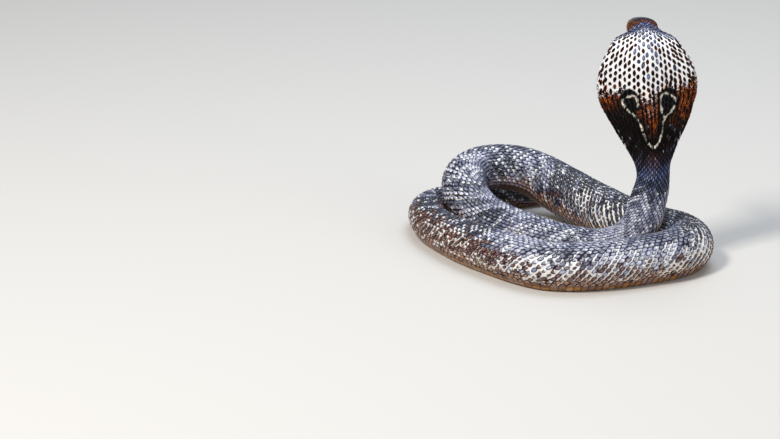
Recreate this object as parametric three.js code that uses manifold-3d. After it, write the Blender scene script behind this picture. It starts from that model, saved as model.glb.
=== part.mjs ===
import * as THREE from "three";
import { mergeVertices } from "three/addons/utils/BufferGeometryUtils.js";
import Module from "manifold-3d";

// An Indian spectacled cobra at life size, lying in a loop over its own tail with its hood spread.
// Millimetres, +Z up. The back of the hood faces -Y.

const wasm = await Module();
wasm.setup();

const gap = 0.3; // parting between pieces that meet
const planMiddle = [-10.1, -76.5]; // middle of the whole animal in the plan that the route is drawn in
const sideBulge = 1.03; // half width of the body against its half height
const bellyFlat = 0.86; // depth of the flat belly below the backbone, against the half height
const plateRise = 0.7; // how far a belly scute stands proud of the groove in front of it
const floorReach = 0.3; // what comes this near the floor lies flat on it

// The route of the body's middle, from the nape to the tip of the tail. A lying stretch rests its belly
// on the floor; a raised one gives the height of its middle, its half height, its half width and the
// direction that its back faces.
const up = [0, 0, 1];

function lying(x, y, girth) {
  return [x, y, bellyFlat * girth, girth, sideBulge * girth, ...up];
}

function raised(x, y, z, girth, halfWidth, back = up) {
  return [x, y, z, girth, halfWidth, ...back];
}

const hood = [
  raised(65, -107.5, 221, 9, 12.4, [0, 0.1, 1]),
  raised(65.3, -113.5, 221.7, 8.7, 18.5, [0, 0, 1]),
  raised(65.4, -120.5, 220.9, 8.4, 26, [0, -0.3, 1]),
  raised(65.2, -128.5, 218, 8.4, 31.5, [0, -0.6, 0.8]),
  raised(64.9, -136, 212, 9, 35, [0, -1, 0.5]),
  raised(64.9, -141, 203, 9.6, 40.2, [0, -1, 0.15]),
  raised(65.3, -144, 191, 10, 44.8, [0, -1, 0]),
  raised(66, -145, 176, 10, 46.8, [0, -1, 0]),
  raised(67.7, -145, 162, 10.4, 45, [0, -1, 0]),
  raised(69.6, -144, 146, 11.2, 38.9, [0, -1, 0]),
  raised(70.9, -143, 131, 12.2, 31.8, [0, -1, 0]),
  raised(72.1, -142, 116, 13.2, 23.6, [0, -1, 0]),
];
const neck = [
  raised(73.2, -141, 102, 14, 17, [-0.1, -1, 0]),
  raised(74.3, -139.8, 89, 14.8, 15.4, [-0.25, -1, 0]),
  raised(73.4, -138.6, 76, 15.6, 16.4, [-0.45, -0.9, 0]),
  raised(69.8, -137.5, 60, 16.6, 18, [-0.75, -0.7, 0.1]),
  raised(65.5, -137.5, 44, 17.2, 18.6, [-0.9, -0.4, 0.3]),
  raised(57, -137.4, 30, 17.8, 18.8, [-0.7, -0.2, 0.7]),
  raised(43, -138, 20.5, 18.4, 19.2, [-0.3, 0, 1]),
];
const innerRun = [
  lying(25, -139, 19),
  lying(5, -134, 19.3),
  lying(-14, -122, 19.6),
  lying(-32, -106, 20),
  lying(-52, -84, 20.3),
  raised(-70, -65, 19.5, 20.7, 21.3),
];
const archOverTail = [
  raised(-84, -51, 25, 21.1, 21.7, [0.1, 0, 1]),
  raised(-94.5, -38, 34, 21.5, 22.1, [0.1, 0, 1]),
  raised(-99, -22, 43, 21.8, 22.4),
  raised(-94.5, -7, 48.5, 22.1, 22.7),
  raised(-83, 2, 52, 22.5, 23.1),
  raised(-67, 6, 53, 22.9, 23.5),
  raised(-51, 8.5, 51.5, 23.3, 24),
  raised(-36, 9.5, 47.5, 23.7, 24.4),
  raised(-20, 8, 41, 24.2, 24.9),
  raised(-5, 1, 34, 24.7, 25.4),
  raised(9, -9, 28.5, 25, 25.8),
  raised(23, -24, 24.2, 25.2, 26),
  raised(37, -43, 22.2, 25.2, 26),
];
const farRun = [
  lying(51, -66, 25),
  lying(69, -87, 24.6),
  lying(87.5, -102.5, 24.2),
];
const frontRun = [
  lying(102.5, -115, 24),
  lying(109.3, -132, 23.8),
  lying(104.5, -152.5, 23.6),
  lying(85, -171, 23.4),
  lying(60, -183, 23.2),
  lying(30, -195, 23),
  lying(-2, -201, 22.9),
  lying(-27, -198, 22.7),
  lying(-47.5, -183.5, 22.5),
  lying(-71.5, -158, 21.9),
  lying(-96.5, -127.5, 20.8),
  lying(-115.5, -96, 19.6),
  lying(-128.5, -69, 18.7),
  lying(-134.5, -42, 18.3),
];
const tailUnderArch = [
  lying(-134, -19, 18),
  lying(-124.5, 0, 17.6),
  lying(-106, 14, 17),
  lying(-82, 27, 16.3),
  lying(-57, 40, 15.5),
  lying(-34, 51, 14.5),
  lying(-11, 58, 13.2),
  lying(12, 57, 11.7),
  lying(33, 49, 10),
  lying(52, 36, 8.2),
  lying(70, 20, 6.2),
  lying(86, 2, 4.2),
  lying(99, -16, 1.8),
];
const route = [
  ...hood,
  ...neck,
  ...innerRun,
  ...archOverTail,
  ...farRun,
  ...frontRun,
  ...tailUnderArch,
];

// A smooth curve through rows of numbers whose first three are a place: a centripetal Catmull-Rom
// spline that carries the other numbers along.
function mix(a, b, share) {
  return a.map((value, i) => value + (b[i] - value) * share);
}

function stepRoot(a, b) {
  return Math.sqrt(Math.max(1e-4, Math.hypot(a[0] - b[0], a[1] - b[1], a[2] - b[2])));
}

function splinePoint(rows, segment, share) {
  const p1 = rows[segment];
  const p2 = rows[segment + 1];
  const p0 = rows[segment - 1] ?? mix(p2, p1, 2);
  const p3 = rows[segment + 2] ?? mix(p1, p2, 2);
  const d0 = stepRoot(p0, p1);
  const d1 = stepRoot(p1, p2);
  const d2 = stepRoot(p2, p3);
  return p1.map((value, i) => {
    const startSlope = d1 * ((value - p0[i]) / d0 - (p2[i] - p0[i]) / (d0 + d1) + (p2[i] - value) / d1);
    const endSlope = d1 * ((p2[i] - value) / d1 - (p3[i] - value) / (d1 + d2) + (p3[i] - p2[i]) / d2);
    const square = 3 * (p2[i] - value) - 2 * startSlope - endSlope;
    const cube = 2 * (value - p2[i]) + startSlope + endSlope;
    return value + share * (startSlope + share * (square + share * cube));
  });
}

const samplesPerRow = 40;
const samples = [];
for (let row = 0; row < route.length - 1; row++)
  for (let k = 0; k < samplesPerRow; k++) samples.push(splinePoint(route, row, k / samplesPerRow));
samples.push(route[route.length - 1]);
const distance = [0];
for (let i = 1; i < samples.length; i++) {
  const [a, b] = [samples[i - 1], samples[i]];
  distance.push(distance[i - 1] + Math.hypot(b[0] - a[0], b[1] - a[1], b[2] - a[2]));
}
const bodyEnd = distance[distance.length - 1];

function rowAt(s) {
  const wanted = Math.min(Math.max(s, 0), bodyEnd);
  let low = 0;
  let high = distance.length - 1;
  while (high - low > 1) {
    const middle = (low + high) >> 1;
    if (distance[middle] > wanted) high = middle;
    else low = middle;
  }
  return mix(samples[low], samples[high], (wanted - distance[low]) / (distance[high] - distance[low]));
}

// Where the body is at a distance from the nape: its middle, the way to the tail, back and right side.
function stationAt(s) {
  const row = rowAt(s);
  const [before, after] = [rowAt(s - 1), rowAt(s + 1)];
  const along = new THREE.Vector3(...after.slice(0, 3)).sub(new THREE.Vector3(...before.slice(0, 3)));
  along.normalize();
  const back = new THREE.Vector3(...row.slice(5, 8));
  back.addScaledVector(along, -back.dot(along)).normalize();
  const side = new THREE.Vector3().crossVectors(along, back);
  return { middle: new THREE.Vector3(...row.slice(0, 3)), along, back, side, girth: row[3], halfWidth: row[4] };
}

// The outline of a cross-section: fifteen places over the back from one edge of the belly scutes to the
// other, and four under the belly. A round body turns into a thin, cupped hood as it grows wider.
const backColumns = 15;
const bellyColumns = 4;
const backSweep = THREE.MathUtils.degToRad(125);
const bellyShares = [-0.6, -0.2, 0.2, 0.6];
const hoodShares = [0, 0.62, 1, 0.9, 0.7, 0.46, 0.22, 0];
const hoodCup = 0.16; // how far the hood's edges curl forward, against its half width
const hoodEdge = 1.3; // half thickness of the skin over the spread ribs
const hoodRidge = 0.36; // width of the ridge over the backbone, against the hood's half width

function hoodOutline(column, girth, halfWidth) {
  const fromEdge = Math.min(column, backColumns - 1 - column);
  const sign = column < backColumns / 2 ? 1 : -1;
  const x = fromEdge === 0 ? 0.95 * girth : hoodShares[fromEdge] * halfWidth;
  const cup = (hoodCup * x * x) / halfWidth;
  const ridge = Math.exp(-((x / (hoodRidge * halfWidth)) ** 2));
  if (fromEdge === 0) return [sign * x, -0.62 * girth];
  if (fromEdge === 1) return [sign * x, -cup - hoodEdge];
  if (fromEdge === 2) return [sign * x, -cup];
  return [sign * x, -cup + hoodEdge + (0.6 * girth - hoodEdge) * ridge];
}

function outlineAt(girth, halfWidth, rise) {
  const spread = THREE.MathUtils.smoothstep(halfWidth / girth, 1.15, 2.2);
  const points = [];
  for (let column = 0; column < backColumns; column++) {
    const angle = backSweep * (1 - (2 * column) / (backColumns - 1));
    const round = [halfWidth * Math.sin(angle), 0.98 * girth * Math.cos(angle)];
    points.push(mix(round, hoodOutline(column, girth, halfWidth), spread));
  }
  const depth = (bellyFlat + 0.09 * spread) * girth;
  for (const share of bellyShares)
    points.push([share * (halfWidth + (girth - halfWidth) * spread), -depth + rise]);
  return points;
}

function ringAt(s, rise) {
  const { middle, back, side, girth, halfWidth } = stationAt(s);
  const grooved = Math.min(rise, 0.05 * girth);
  return outlineAt(girth, halfWidth, grooved).map(([x, z]) => {
    const point = middle.clone().addScaledVector(side, x).addScaledVector(back, z);
    if (point.z < floorReach) point.z = 0;
    return point;
  });
}

// One closed length of the body. Each belly scute slopes down from the groove in front of it, runs flat
// and ends in a free edge; the back between the grooves is smooth.
const slopeShare = 0.3;
const edgeShare = 0.93;

function bodyLength(from, to, scutePitch) {
  const scutes = Math.max(1, Math.round((to - from) / scutePitch));
  const pitch = (to - from) / scutes;
  const points = [];
  const faces = [];
  const addRing = (ring) => points.push(...ring) - ring.length;
  const quad = (a, b, c, d) => faces.push([a, c, b], [a, d, c]);
  let front = addRing(ringAt(from, plateRise));
  const firstRing = front;
  for (let scute = 0; scute < scutes; scute++) {
    const start = from + scute * pitch;
    const slope = addRing(ringAt(start + slopeShare * pitch, 0).slice(backColumns));
    const edge = addRing(ringAt(start + edgeShare * pitch, 0).slice(backColumns));
    const rear = addRing(ringAt(start + pitch, plateRise));
    for (let k = 0; k < backColumns - 1; k++) quad(front + k, front + k + 1, rear + k + 1, rear + k);
    const bands = [front + backColumns, slope, edge, rear + backColumns];
    for (let band = 0; band < 3; band++)
      for (let k = 0; k < bellyColumns - 1; k++)
        quad(bands[band] + k, bands[band] + k + 1, bands[band + 1] + k + 1, bands[band + 1] + k);
    const [leftFront, leftRear] = [front + backColumns - 1, rear + backColumns - 1];
    faces.push([leftFront, bands[1], bands[0]], [leftFront, bands[2], bands[1]]);
    faces.push([leftFront, leftRear, bands[2]], [leftRear, bands[3], bands[2]]);
    const last = bellyColumns - 1;
    faces.push([bands[0] + last, bands[1] + last, front], [bands[1] + last, bands[2] + last, front]);
    faces.push([bands[2] + last, rear, front], [bands[2] + last, bands[3] + last, rear]);
    front = rear;
  }
  capRing(faces, firstRing, outlineOf(from), false);
  capRing(faces, front, outlineOf(to), true);
  return meshFrom(points, faces);
}

function outlineOf(s) {
  const { girth, halfWidth } = stationAt(s);
  return outlineAt(girth, halfWidth, Math.min(plateRise, 0.05 * girth));
}

function capRing(faces, first, outline, atTail) {
  const contour = outline.map(([x, z]) => new THREE.Vector2(x, z));
  for (const [a, b, c] of THREE.ShapeUtils.triangulateShape(contour, [])) {
    const turn = new THREE.Vector2().subVectors(contour[b], contour[a]);
    const counterClockwise = turn.cross(new THREE.Vector2().subVectors(contour[c], contour[a])) > 0;
    if (counterClockwise === atTail) faces.push([first + a, first + c, first + b]);
    else faces.push([first + a, first + b, first + c]);
  }
}

function meshFrom(points, faces) {
  const geometry = new THREE.BufferGeometry();
  geometry.setAttribute("position", new THREE.Float32BufferAttribute(points.flatMap((p) => p.toArray()), 3));
  geometry.setIndex(faces.flat());
  geometry.computeVertexNormals();
  return geometry;
}

// The head in its own frame: +X to the snout, +Y to the left, +Z up, from the joint with the neck.
// Rows of distance from the joint, half width, top, bottom, height of the widest line, squareness.
const headRows = [
  [gap, 12.2, 9, -9, 0, 2],
  [4, 13, 9.6, -9.3, 0, 2.1],
  [9, 14, 9.7, -9.3, 0.2, 2.2],
  [14, 14.3, 9.5, -8.9, 0.2, 2.3],
  [19, 13.8, 9.3, -8.4, 0.2, 2.4],
  [24, 12.6, 9.1, -7.8, 0.2, 2.5],
  [28.5, 11.4, 8.6, -7.2, 0, 2.5],
  [33, 10, 7.4, -6.6, -0.2, 2.4],
  [37, 8.6, 6.1, -6, -0.4, 2.3],
  [40, 6.6, 4.5, -5.1, -0.5, 2.2],
  [41.6, 4.2, 2.8, -3.8, -0.6, 2.1],
];
const snoutTip = [42.3, 0, -0.6];
const headColumns = 20;

function headSection(row, growth) {
  const [x, halfWidth, top, bottom, widest, square] = row;
  return Array.from({ length: headColumns }, (_, k) => {
    const angle = (2 * Math.PI * k) / headColumns;
    const across = Math.sign(Math.cos(angle)) * Math.abs(Math.cos(angle)) ** (2 / square);
    const upward = Math.abs(Math.sin(angle)) ** (2 / square);
    const reach = Math.sin(angle) > 0 ? top + growth - widest : bottom - growth - widest;
    return new THREE.Vector3(x, (halfWidth + growth) * across, widest + reach * upward);
  });
}

function headLoft(growth) {
  const sections = headRows.map((row) => headSection(row, growth));
  const points = sections.flat();
  const faces = [];
  for (let row = 0; row < sections.length - 1; row++)
    for (let k = 0; k < headColumns; k++) {
      const [a, b] = [row * headColumns + k, row * headColumns + ((k + 1) % headColumns)];
      faces.push([a, b, b + headColumns], [a, b + headColumns, a + headColumns]);
    }
  const neckMiddle = points.push(new THREE.Vector3(headRows[0][0], 0, 0)) - 1;
  const tip = points.push(new THREE.Vector3(...snoutTip).setX(snoutTip[0] + growth)) - 1;
  const lastRing = (sections.length - 1) * headColumns;
  for (let k = 0; k < headColumns; k++) {
    const next = (k + 1) % headColumns;
    faces.push([neckMiddle, next, k], [tip, lastRing + k, lastRing + next]);
  }
  return meshFrom(points, faces);
}

function solid(geometry) {
  const bare = geometry.index ? geometry.clone() : geometry;
  for (const name of ["normal", "uv"]) bare.deleteAttribute(name);
  const merged = mergeVertices(bare, 1e-4);
  const vertProperties = new Float32Array(merged.attributes.position.array);
  const triVerts = new Uint32Array(merged.index.array);
  return new wasm.Manifold(new wasm.Mesh({ numProp: 3, vertProperties, triVerts }));
}

function geometryOf(manifold) {
  const largest = manifold.decompose().sort((a, b) => b.volume() - a.volume())[0];
  const mesh = largest.getMesh();
  const geometry = new THREE.BufferGeometry();
  geometry.setAttribute("position", new THREE.BufferAttribute(mesh.vertProperties, 3));
  geometry.setIndex(new THREE.BufferAttribute(mesh.triVerts, 1));
  const faceted = geometry.toNonIndexed();
  faceted.computeVertexNormals();
  return faceted;
}

// A slab through the head with its outline drawn in the side view, x forward and z up.
const slabHalfWidth = 20;

function sideSlab(outline) {
  const slab = new THREE.ExtrudeGeometry(outline, { depth: 2 * slabHalfWidth, bevelEnabled: false });
  slab.rotateX(Math.PI / 2);
  slab.translate(0, slabHalfWidth, 0);
  return slab;
}

// The line of the closed mouth, from its corner behind the eye to the snout.
const mouthLine = [
  [9, -1.4],
  [13, -3],
  [19, -4],
  [26, -3.9],
  [34, -3.3],
  [39, -3],
  [44, -2.8],
];
const belowHead = -14;

function jawSlab(margin) {
  const lip = new THREE.SplineCurve(mouthLine.map(([x, z]) => new THREE.Vector2(x, z + margin)));
  const outline = new THREE.Shape([
    new THREE.Vector2(mouthLine[0][0] - margin, belowHead),
    new THREE.Vector2(mouthLine.at(-1)[0] + 2, belowHead),
    ...lip.getPoints(14).reverse(),
    new THREE.Vector2(mouthLine[0][0] - margin, mouthLine[0][1] + margin),
  ]);
  return solid(sideSlab(outline));
}

function lipHeight(x) {
  const next = Math.max(1, mouthLine.findIndex(([place]) => place >= x));
  const [[x0, z0], [x1, z1]] = [mouthLine[next - 1], mouthLine[next]];
  return z0 + ((z1 - z0) * (x - x0)) / (x1 - x0);
}

const eyeRadius = 2.3;
const eyePlace = [28, 9.7, 3.1];
const nostrilRadius = 1.1;
const nostrilPlace = [38.8, 7.1, 0.9];

function ball(radius, [x, y, z], detail) {
  return new THREE.SphereGeometry(radius, 2 * detail, detail).rotateX(Math.PI / 2).translate(x, y, z);
}

// The shields of the head are plates a little proud of the skin, with narrow grooves between them.
// Those of the crown and the chin are drawn from above, x forward and y to the left, a pair once only;
// those of the sides are drawn in the side view, and cut both sides of the head at once.
const shieldRise = 0.45;
const groove = 0.8;
const crownTop = 14;
const frontalShield = [[31.2, 3.3], [31.2, -3.3], [26.6, -3.6], [22.4, 0], [26.6, 3.6]];
const crownPairs = [
  [[37, 0], [40.6, 0], [39.8, 4.6], [36.9, 5.4]],
  [[31.2, 0], [37, 0], [36.9, 5.4], [35, 7.2], [31.2, 7]],
  [[31.2, 3.3], [31.2, 7.2], [28, 8.8], [24, 8.9], [23.6, 5.8], [26.6, 3.6]],
  [[22.4, 0], [26.2, 3.7], [23.6, 5.8], [23, 8.4], [15, 8.2], [11.5, 4.6], [11.2, 0]],
];
const rostralShield = [[40.7, 3], [44, 3], [44, -3], [40.7, -3]];
const chinPairs = [
  [[30.5, 0], [37.5, 0], [36.5, 3.6], [30.5, 4]],
  [[23, 0], [30.5, 0], [30.5, 4], [23, 3.4]],
];
const cheekShields = [
  [[36.3, -0.1], [40.6, -0.3], [40.2, 3], [36.3, 4.4]],
  [[31.2, 0], [36.3, -0.1], [36.3, 4.4], [31.4, 5.6]],
  [[21.8, 0.1], [25.2, 0], [25.2, 5.6], [22.4, 5.8]],
  [[16.4, 0], [21.8, 0.1], [22.4, 5.8], [16.4, 5.9]],
  [[11.4, 0.2], [16.4, 0], [16.4, 5.9], [12.4, 5.6]],
];
const upperLipEdges = [11.5, 17, 21.8, 26, 30, 33.8, 37.2, 40.4];
const lowerLipEdges = [14, 19.5, 24, 28, 32, 35.6, 39];

// An outline drawn in by half a groove, each corner towards the middle.
function insetOutline(corners) {
  const middle = corners.reduce((sum, [x, y]) => [sum[0] + x, sum[1] + y], [0, 0]).map((v) => v / corners.length);
  return new THREE.Shape(corners.map(([x, y]) => {
    const inwards = new THREE.Vector2(middle[0] - x, middle[1] - y).setLength(groove * 0.7);
    return new THREE.Vector2(x, y).add(inwards);
  }));
}

function planSlab(corners, low, high) {
  const slab = new THREE.ExtrudeGeometry(insetOutline(corners), { depth: high - low, bevelEnabled: false });
  return slab.translate(0, 0, low);
}

function lipShields(edges, outlineOfShield) {
  return edges.slice(1).map((front, i) => sideSlab(insetOutline(outlineOfShield(edges[i], front))));
}

function shieldSlabs() {
  const mirrored = (corners) => corners.map(([x, y]) => [x, -y]);
  const both = (pairs) => pairs.flatMap((corners) => [corners, mirrored(corners)]);
  const crown = [frontalShield, ...both(crownPairs)];
  return [
    ...crown.map((corners) => planSlab(corners, 0, crownTop)),
    ...both(chinPairs).map((corners) => planSlab(corners, belowHead, mouthLine[0][1] - shieldRise)),
    planSlab(rostralShield, -3.4, 2),
    ...cheekShields.map((corners) => sideSlab(insetOutline(corners))),
    ...lipShields(upperLipEdges, (rear, front) => [
      [rear, lipHeight(rear) + gap],
      [front, lipHeight(front) + gap],
      [front, -0.3],
      [rear, 0],
    ]),
    ...lipShields(lowerLipEdges, (rear, front) => [
      [rear, lipHeight(rear) - 3],
      [front, lipHeight(front) - 2.2],
      [front, lipHeight(front)],
      [rear, lipHeight(rear)],
    ]),
  ];
}

function headParts() {
  const proud = solid(headLoft(shieldRise));
  let whole = solid(headLoft(0));
  for (const slab of shieldSlabs()) whole = whole.add(proud.intersect(solid(slab)));
  for (const sign of [1, -1]) {
    const [eyeX, eyeY, eyeZ] = eyePlace;
    whole = whole.subtract(solid(ball(eyeRadius + gap, [eyeX, sign * eyeY, eyeZ], 10)));
    const [nostrilX, nostrilY, nostrilZ] = nostrilPlace;
    whole = whole.subtract(solid(ball(nostrilRadius, [nostrilX, sign * nostrilY, nostrilZ], 6)));
  }
  return {
    head: geometryOf(whole.subtract(jawSlab(gap))),
    lowerJaw: geometryOf(whole.intersect(jawSlab(0))),
  };
}

// Colours of the coat and finish of each piece.
const finishes = {
  hood: { color: 0xb8b0a4, roughness: 0.5 },
  neck: { color: 0x39415a, roughness: 0.45 },
  body: { color: 0x6f7c93, roughness: 0.45 },
  head: { color: 0x5a4638, roughness: 0.45 },
  eye: { color: 0x17120d, roughness: 0.08 },
};

function piece(name, geometry, finish) {
  const material = new THREE.MeshStandardMaterial({ metalness: 0, ...finishes[finish] });
  const mesh = new THREE.Mesh(geometry, material);
  mesh.name = name;
  return mesh;
}

// The lengths of the body, by how far from the nape each one ends, and the pitch of its belly scutes.
const bodyEnds = [352, 422, 495, 600, 690, 775, 860, 965, 1060, 1175];
const lengths = [
  { name: "hood", end: 137, pitch: 8, finish: "hood" },
  { name: "neck", end: 245, pitch: 8, finish: "neck" },
  ...bodyEnds.map((end, index) => ({ name: `body_${index + 1}`, end, pitch: 10, finish: "body" })),
  { name: "tail", end: bodyEnd, pitch: 9, finish: "body" },
];
const lengthGap = 0.4; // parting of two lengths at their middles, less on the inside of a bend

const model = new THREE.Group();
let start = 0;
for (const { name, end, pitch, finish } of lengths) {
  const from = start + lengthGap / 2;
  const to = end === bodyEnd ? end : end - lengthGap / 2;
  model.add(piece(name, bodyLength(from, to, pitch), finish));
  start = end;
}

const nape = stationAt(0);
const headGroup = new THREE.Group();
const forward = nape.along.clone().negate();
const left = new THREE.Vector3().crossVectors(nape.back, forward);
headGroup.setRotationFromMatrix(new THREE.Matrix4().makeBasis(forward, left, nape.back));
headGroup.position.copy(nape.middle);
const { head, lowerJaw } = headParts();
headGroup.add(piece("head", head, "head"), piece("lower_jaw", lowerJaw, "head"));
for (const [name, sign] of [["eye_left", 1], ["eye_right", -1]]) {
  const eye = piece(name, ball(eyeRadius, [0, 0, 0], 9), "eye");
  eye.position.set(eyePlace[0], sign * eyePlace[1], eyePlace[2]);
  headGroup.add(eye);
}
model.add(headGroup);
model.position.set(-planMiddle[0], -planMiddle[1], 0);

export default model;
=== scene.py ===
import math

import bpy
import numpy as np
from mathutils.kdtree import KDTree
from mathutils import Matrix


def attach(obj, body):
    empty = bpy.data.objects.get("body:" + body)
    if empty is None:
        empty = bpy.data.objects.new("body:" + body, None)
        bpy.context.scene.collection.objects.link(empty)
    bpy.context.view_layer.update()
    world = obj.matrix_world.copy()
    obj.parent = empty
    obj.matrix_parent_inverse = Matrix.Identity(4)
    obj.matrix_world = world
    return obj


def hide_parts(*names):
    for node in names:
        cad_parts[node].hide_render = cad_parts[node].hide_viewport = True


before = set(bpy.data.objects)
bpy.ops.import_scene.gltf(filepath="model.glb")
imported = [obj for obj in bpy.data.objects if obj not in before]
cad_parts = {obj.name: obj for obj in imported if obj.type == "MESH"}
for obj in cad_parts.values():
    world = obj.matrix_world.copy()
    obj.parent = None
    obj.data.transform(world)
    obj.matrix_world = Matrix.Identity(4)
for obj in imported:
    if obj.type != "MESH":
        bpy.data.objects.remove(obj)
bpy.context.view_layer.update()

# An Indian spectacled cobra at life size. The way of its body is in millimetres, as in the part's own source,
# and every mesh is set in metres.
metre = 0.001

# The route of the body's middle from the nape to the tip of the tail. A row of three gives x, y and half
# height of a lying stretch. A longer one gives x, y, height of the middle, half height and half width, and
# where its back faces if that isn't upwards.
routeDims = {
    "planMiddle": (-10.1, -76.5),
    "sideBulge": 1.03,
    "bellyFlat": 0.86,
    "samplesPerRow": 40,
    "hoodEnd": 150,
}
bodyRoute = [
    # hood
    (65, -107.5, 221, 9, 12.4, 0, 0.1, 1),
    (65.3, -113.5, 221.7, 8.7, 18.5),
    (65.4, -120.5, 220.9, 8.4, 26, 0, -0.3, 1),
    (65.2, -128.5, 218, 8.4, 31.5, 0, -0.6, 0.8),
    (64.9, -136, 212, 9, 35, 0, -1, 0.5),
    (64.9, -141, 203, 9.6, 40.2, 0, -1, 0.15),
    (65.3, -144, 191, 10, 44.8, 0, -1, 0),
    (66, -145, 176, 10, 46.8, 0, -1, 0),
    (67.7, -145, 162, 10.4, 45, 0, -1, 0),
    (69.6, -144, 146, 11.2, 38.9, 0, -1, 0),
    (70.9, -143, 131, 12.2, 31.8, 0, -1, 0),
    (72.1, -142, 116, 13.2, 23.6, 0, -1, 0),
    # neck
    (73.2, -141, 102, 14, 17, -0.1, -1, 0),
    (74.3, -139.8, 89, 14.8, 15.4, -0.25, -1, 0),
    (73.4, -138.6, 76, 15.6, 16.4, -0.45, -0.9, 0),
    (69.8, -137.5, 60, 16.6, 18, -0.75, -0.7, 0.1),
    (65.5, -137.5, 44, 17.2, 18.6, -0.9, -0.4, 0.3),
    (57, -137.4, 30, 17.8, 18.8, -0.7, -0.2, 0.7),
    (43, -138, 20.5, 18.4, 19.2, -0.3, 0, 1),
    # inner run, behind the front coil
    (25, -139, 19), (5, -134, 19.3), (-14, -122, 19.6), (-32, -106, 20), (-52, -84, 20.3),
    # arch over the tail
    (-70, -65, 19.5, 20.7, 21.3),
    (-84, -51, 25, 21.1, 21.7, 0.1, 0, 1),
    (-94.5, -38, 34, 21.5, 22.1, 0.1, 0, 1),
    (-99, -22, 43, 21.8, 22.4), (-94.5, -7, 48.5, 22.1, 22.7), (-83, 2, 52, 22.5, 23.1),
    (-67, 6, 53, 22.9, 23.5), (-51, 8.5, 51.5, 23.3, 24), (-36, 9.5, 47.5, 23.7, 24.4),
    (-20, 8, 41, 24.2, 24.9), (-5, 1, 34, 24.7, 25.4), (9, -9, 28.5, 25, 25.8),
    (23, -24, 24.2, 25.2, 26), (37, -43, 22.2, 25.2, 26),
    # far run and right-hand turn
    (51, -66, 25), (69, -87, 24.6), (87.5, -102.5, 24.2),
    # front coil
    (102.5, -115, 24), (109.3, -132, 23.8), (104.5, -152.5, 23.6), (85, -171, 23.4), (60, -183, 23.2),
    (30, -195, 23), (-2, -201, 22.9), (-27, -198, 22.7), (-47.5, -183.5, 22.5), (-71.5, -158, 21.9),
    (-96.5, -127.5, 20.8), (-115.5, -96, 19.6), (-128.5, -69, 18.7), (-134.5, -42, 18.3),
    # tail, under the arch
    (-134, -19, 18), (-124.5, 0, 17.6), (-106, 14, 17), (-82, 27, 16.3), (-57, 40, 15.5), (-34, 51, 14.5),
    (-11, 58, 13.2), (12, 57, 11.7), (33, 49, 10), (52, 36, 8.2), (70, 20, 6.2), (86, 2, 4.2), (99, -16, 1.8),
]


def fullRow(row):
    if len(row) == 3:
        x, y, girth = row
        return (x, y, routeDims["bellyFlat"] * girth, girth, routeDims["sideBulge"] * girth, 0, 0, 1)
    return row if len(row) == 8 else (*row, 0, 0, 1)


def hermite(v0, v1, m0, m1, t):
    return v0 + t * (m0 + t * (3 * (v1 - v0) - 2 * m0 - m1 + t * (2 * (v0 - v1) + m0 + m1)))


def splineThrough(rows, steps):
    # centripetal Catmull-Rom through rows of numbers whose first three are a place
    rows = np.array(rows, float)
    ends = np.vstack([2 * rows[0] - rows[1], rows, 2 * rows[-1] - rows[-2]])
    share = (np.arange(steps) / steps)[:, None]
    pieces = []
    for p0, p1, p2, p3 in zip(ends, ends[1:], ends[2:], ends[3:]):
        gaps = (np.linalg.norm(b[:3] - a[:3]) for a, b in ((p0, p1), (p1, p2), (p2, p3)))
        d0, d1, d2 = (math.sqrt(max(1e-4, gap)) for gap in gaps)
        m1 = d1 * ((p1 - p0) / d0 - (p2 - p0) / (d0 + d1) + (p2 - p1) / d1)
        m2 = d1 * ((p2 - p1) / d1 - (p3 - p1) / (d1 + d2) + (p3 - p2) / d2)
        pieces.append(hermite(p1, p2, m1, m2, share))
    return np.vstack(pieces + [rows[-1:]])


def unit(vectors):
    return vectors / np.maximum(np.linalg.norm(vectors, axis=-1, keepdims=True), 1e-9)


def ease(low, high, value):
    t = np.clip((value - low) / (high - low), 0, 1)
    return t * t * (3 - 2 * t)


def bell(value, width):
    return np.exp(-((value / width) ** 2))


routeRows = splineThrough([fullRow(row) for row in bodyRoute], routeDims["samplesPerRow"])
routeRows[:, :2] -= routeDims["planMiddle"]
routeDistance = np.cumsum(np.linalg.norm(np.diff(routeRows[:, :3], axis=0), axis=1))
routeDistance = np.concatenate([[0], routeDistance])
bodyEnd = routeDistance[-1]


def rowsAt(s):
    return np.stack([np.interp(s, routeDistance, column) for column in routeRows.T], axis=-1)


def stationsAt(s):
    # middle, the way to the tail, back, left side, half height and half width at distances from the nape
    rows = rowsAt(s)
    along = unit(rowsAt(s + 1)[:, :3] - rowsAt(s - 1)[:, :3])
    back = rows[:, 5:8]
    back = unit(back - along * np.sum(along * back, axis=1, keepdims=True))
    return rows[:, :3], along, back, np.cross(along, back), rows[:, 3], rows[:, 4]


# The ring round the body is read by a number c: 0 on the spine, 1 and -1 where the belly scutes begin on the
# left and on the right, 2 and -2 at the middle of the belly.
ringDims = {
    "backSweep": math.radians(125),
    "backTop": 0.98,
    "backKnots": 7,
    "spread": (1.15, 2.2),
    "hoodShares": (0, 0.22, 0.46, 0.7, 0.9, 1, 0.62),
    "hoodFoot": (0.95, 0.62),
    "hoodDeeper": 0.105,
    "hoodCup": 0.16,
    "hoodEdge": 1.3,
    "hoodRidge": (0.36, 0.6),
    "bellyKnots": (1.15, 1.35, 1.6, 2),
    "bellyWidths": (0.74, 0.6, 0.36, 0),
    "bellyDepths": (0.7, 0.83, 0.858, 0.86),
    "fineSteps": 200,
}


def spreadOf(girth, halfWidth):
    # 0 on the round body, 1 on the open hood
    return ease(*ringDims["spread"], halfWidth / girth)


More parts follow.
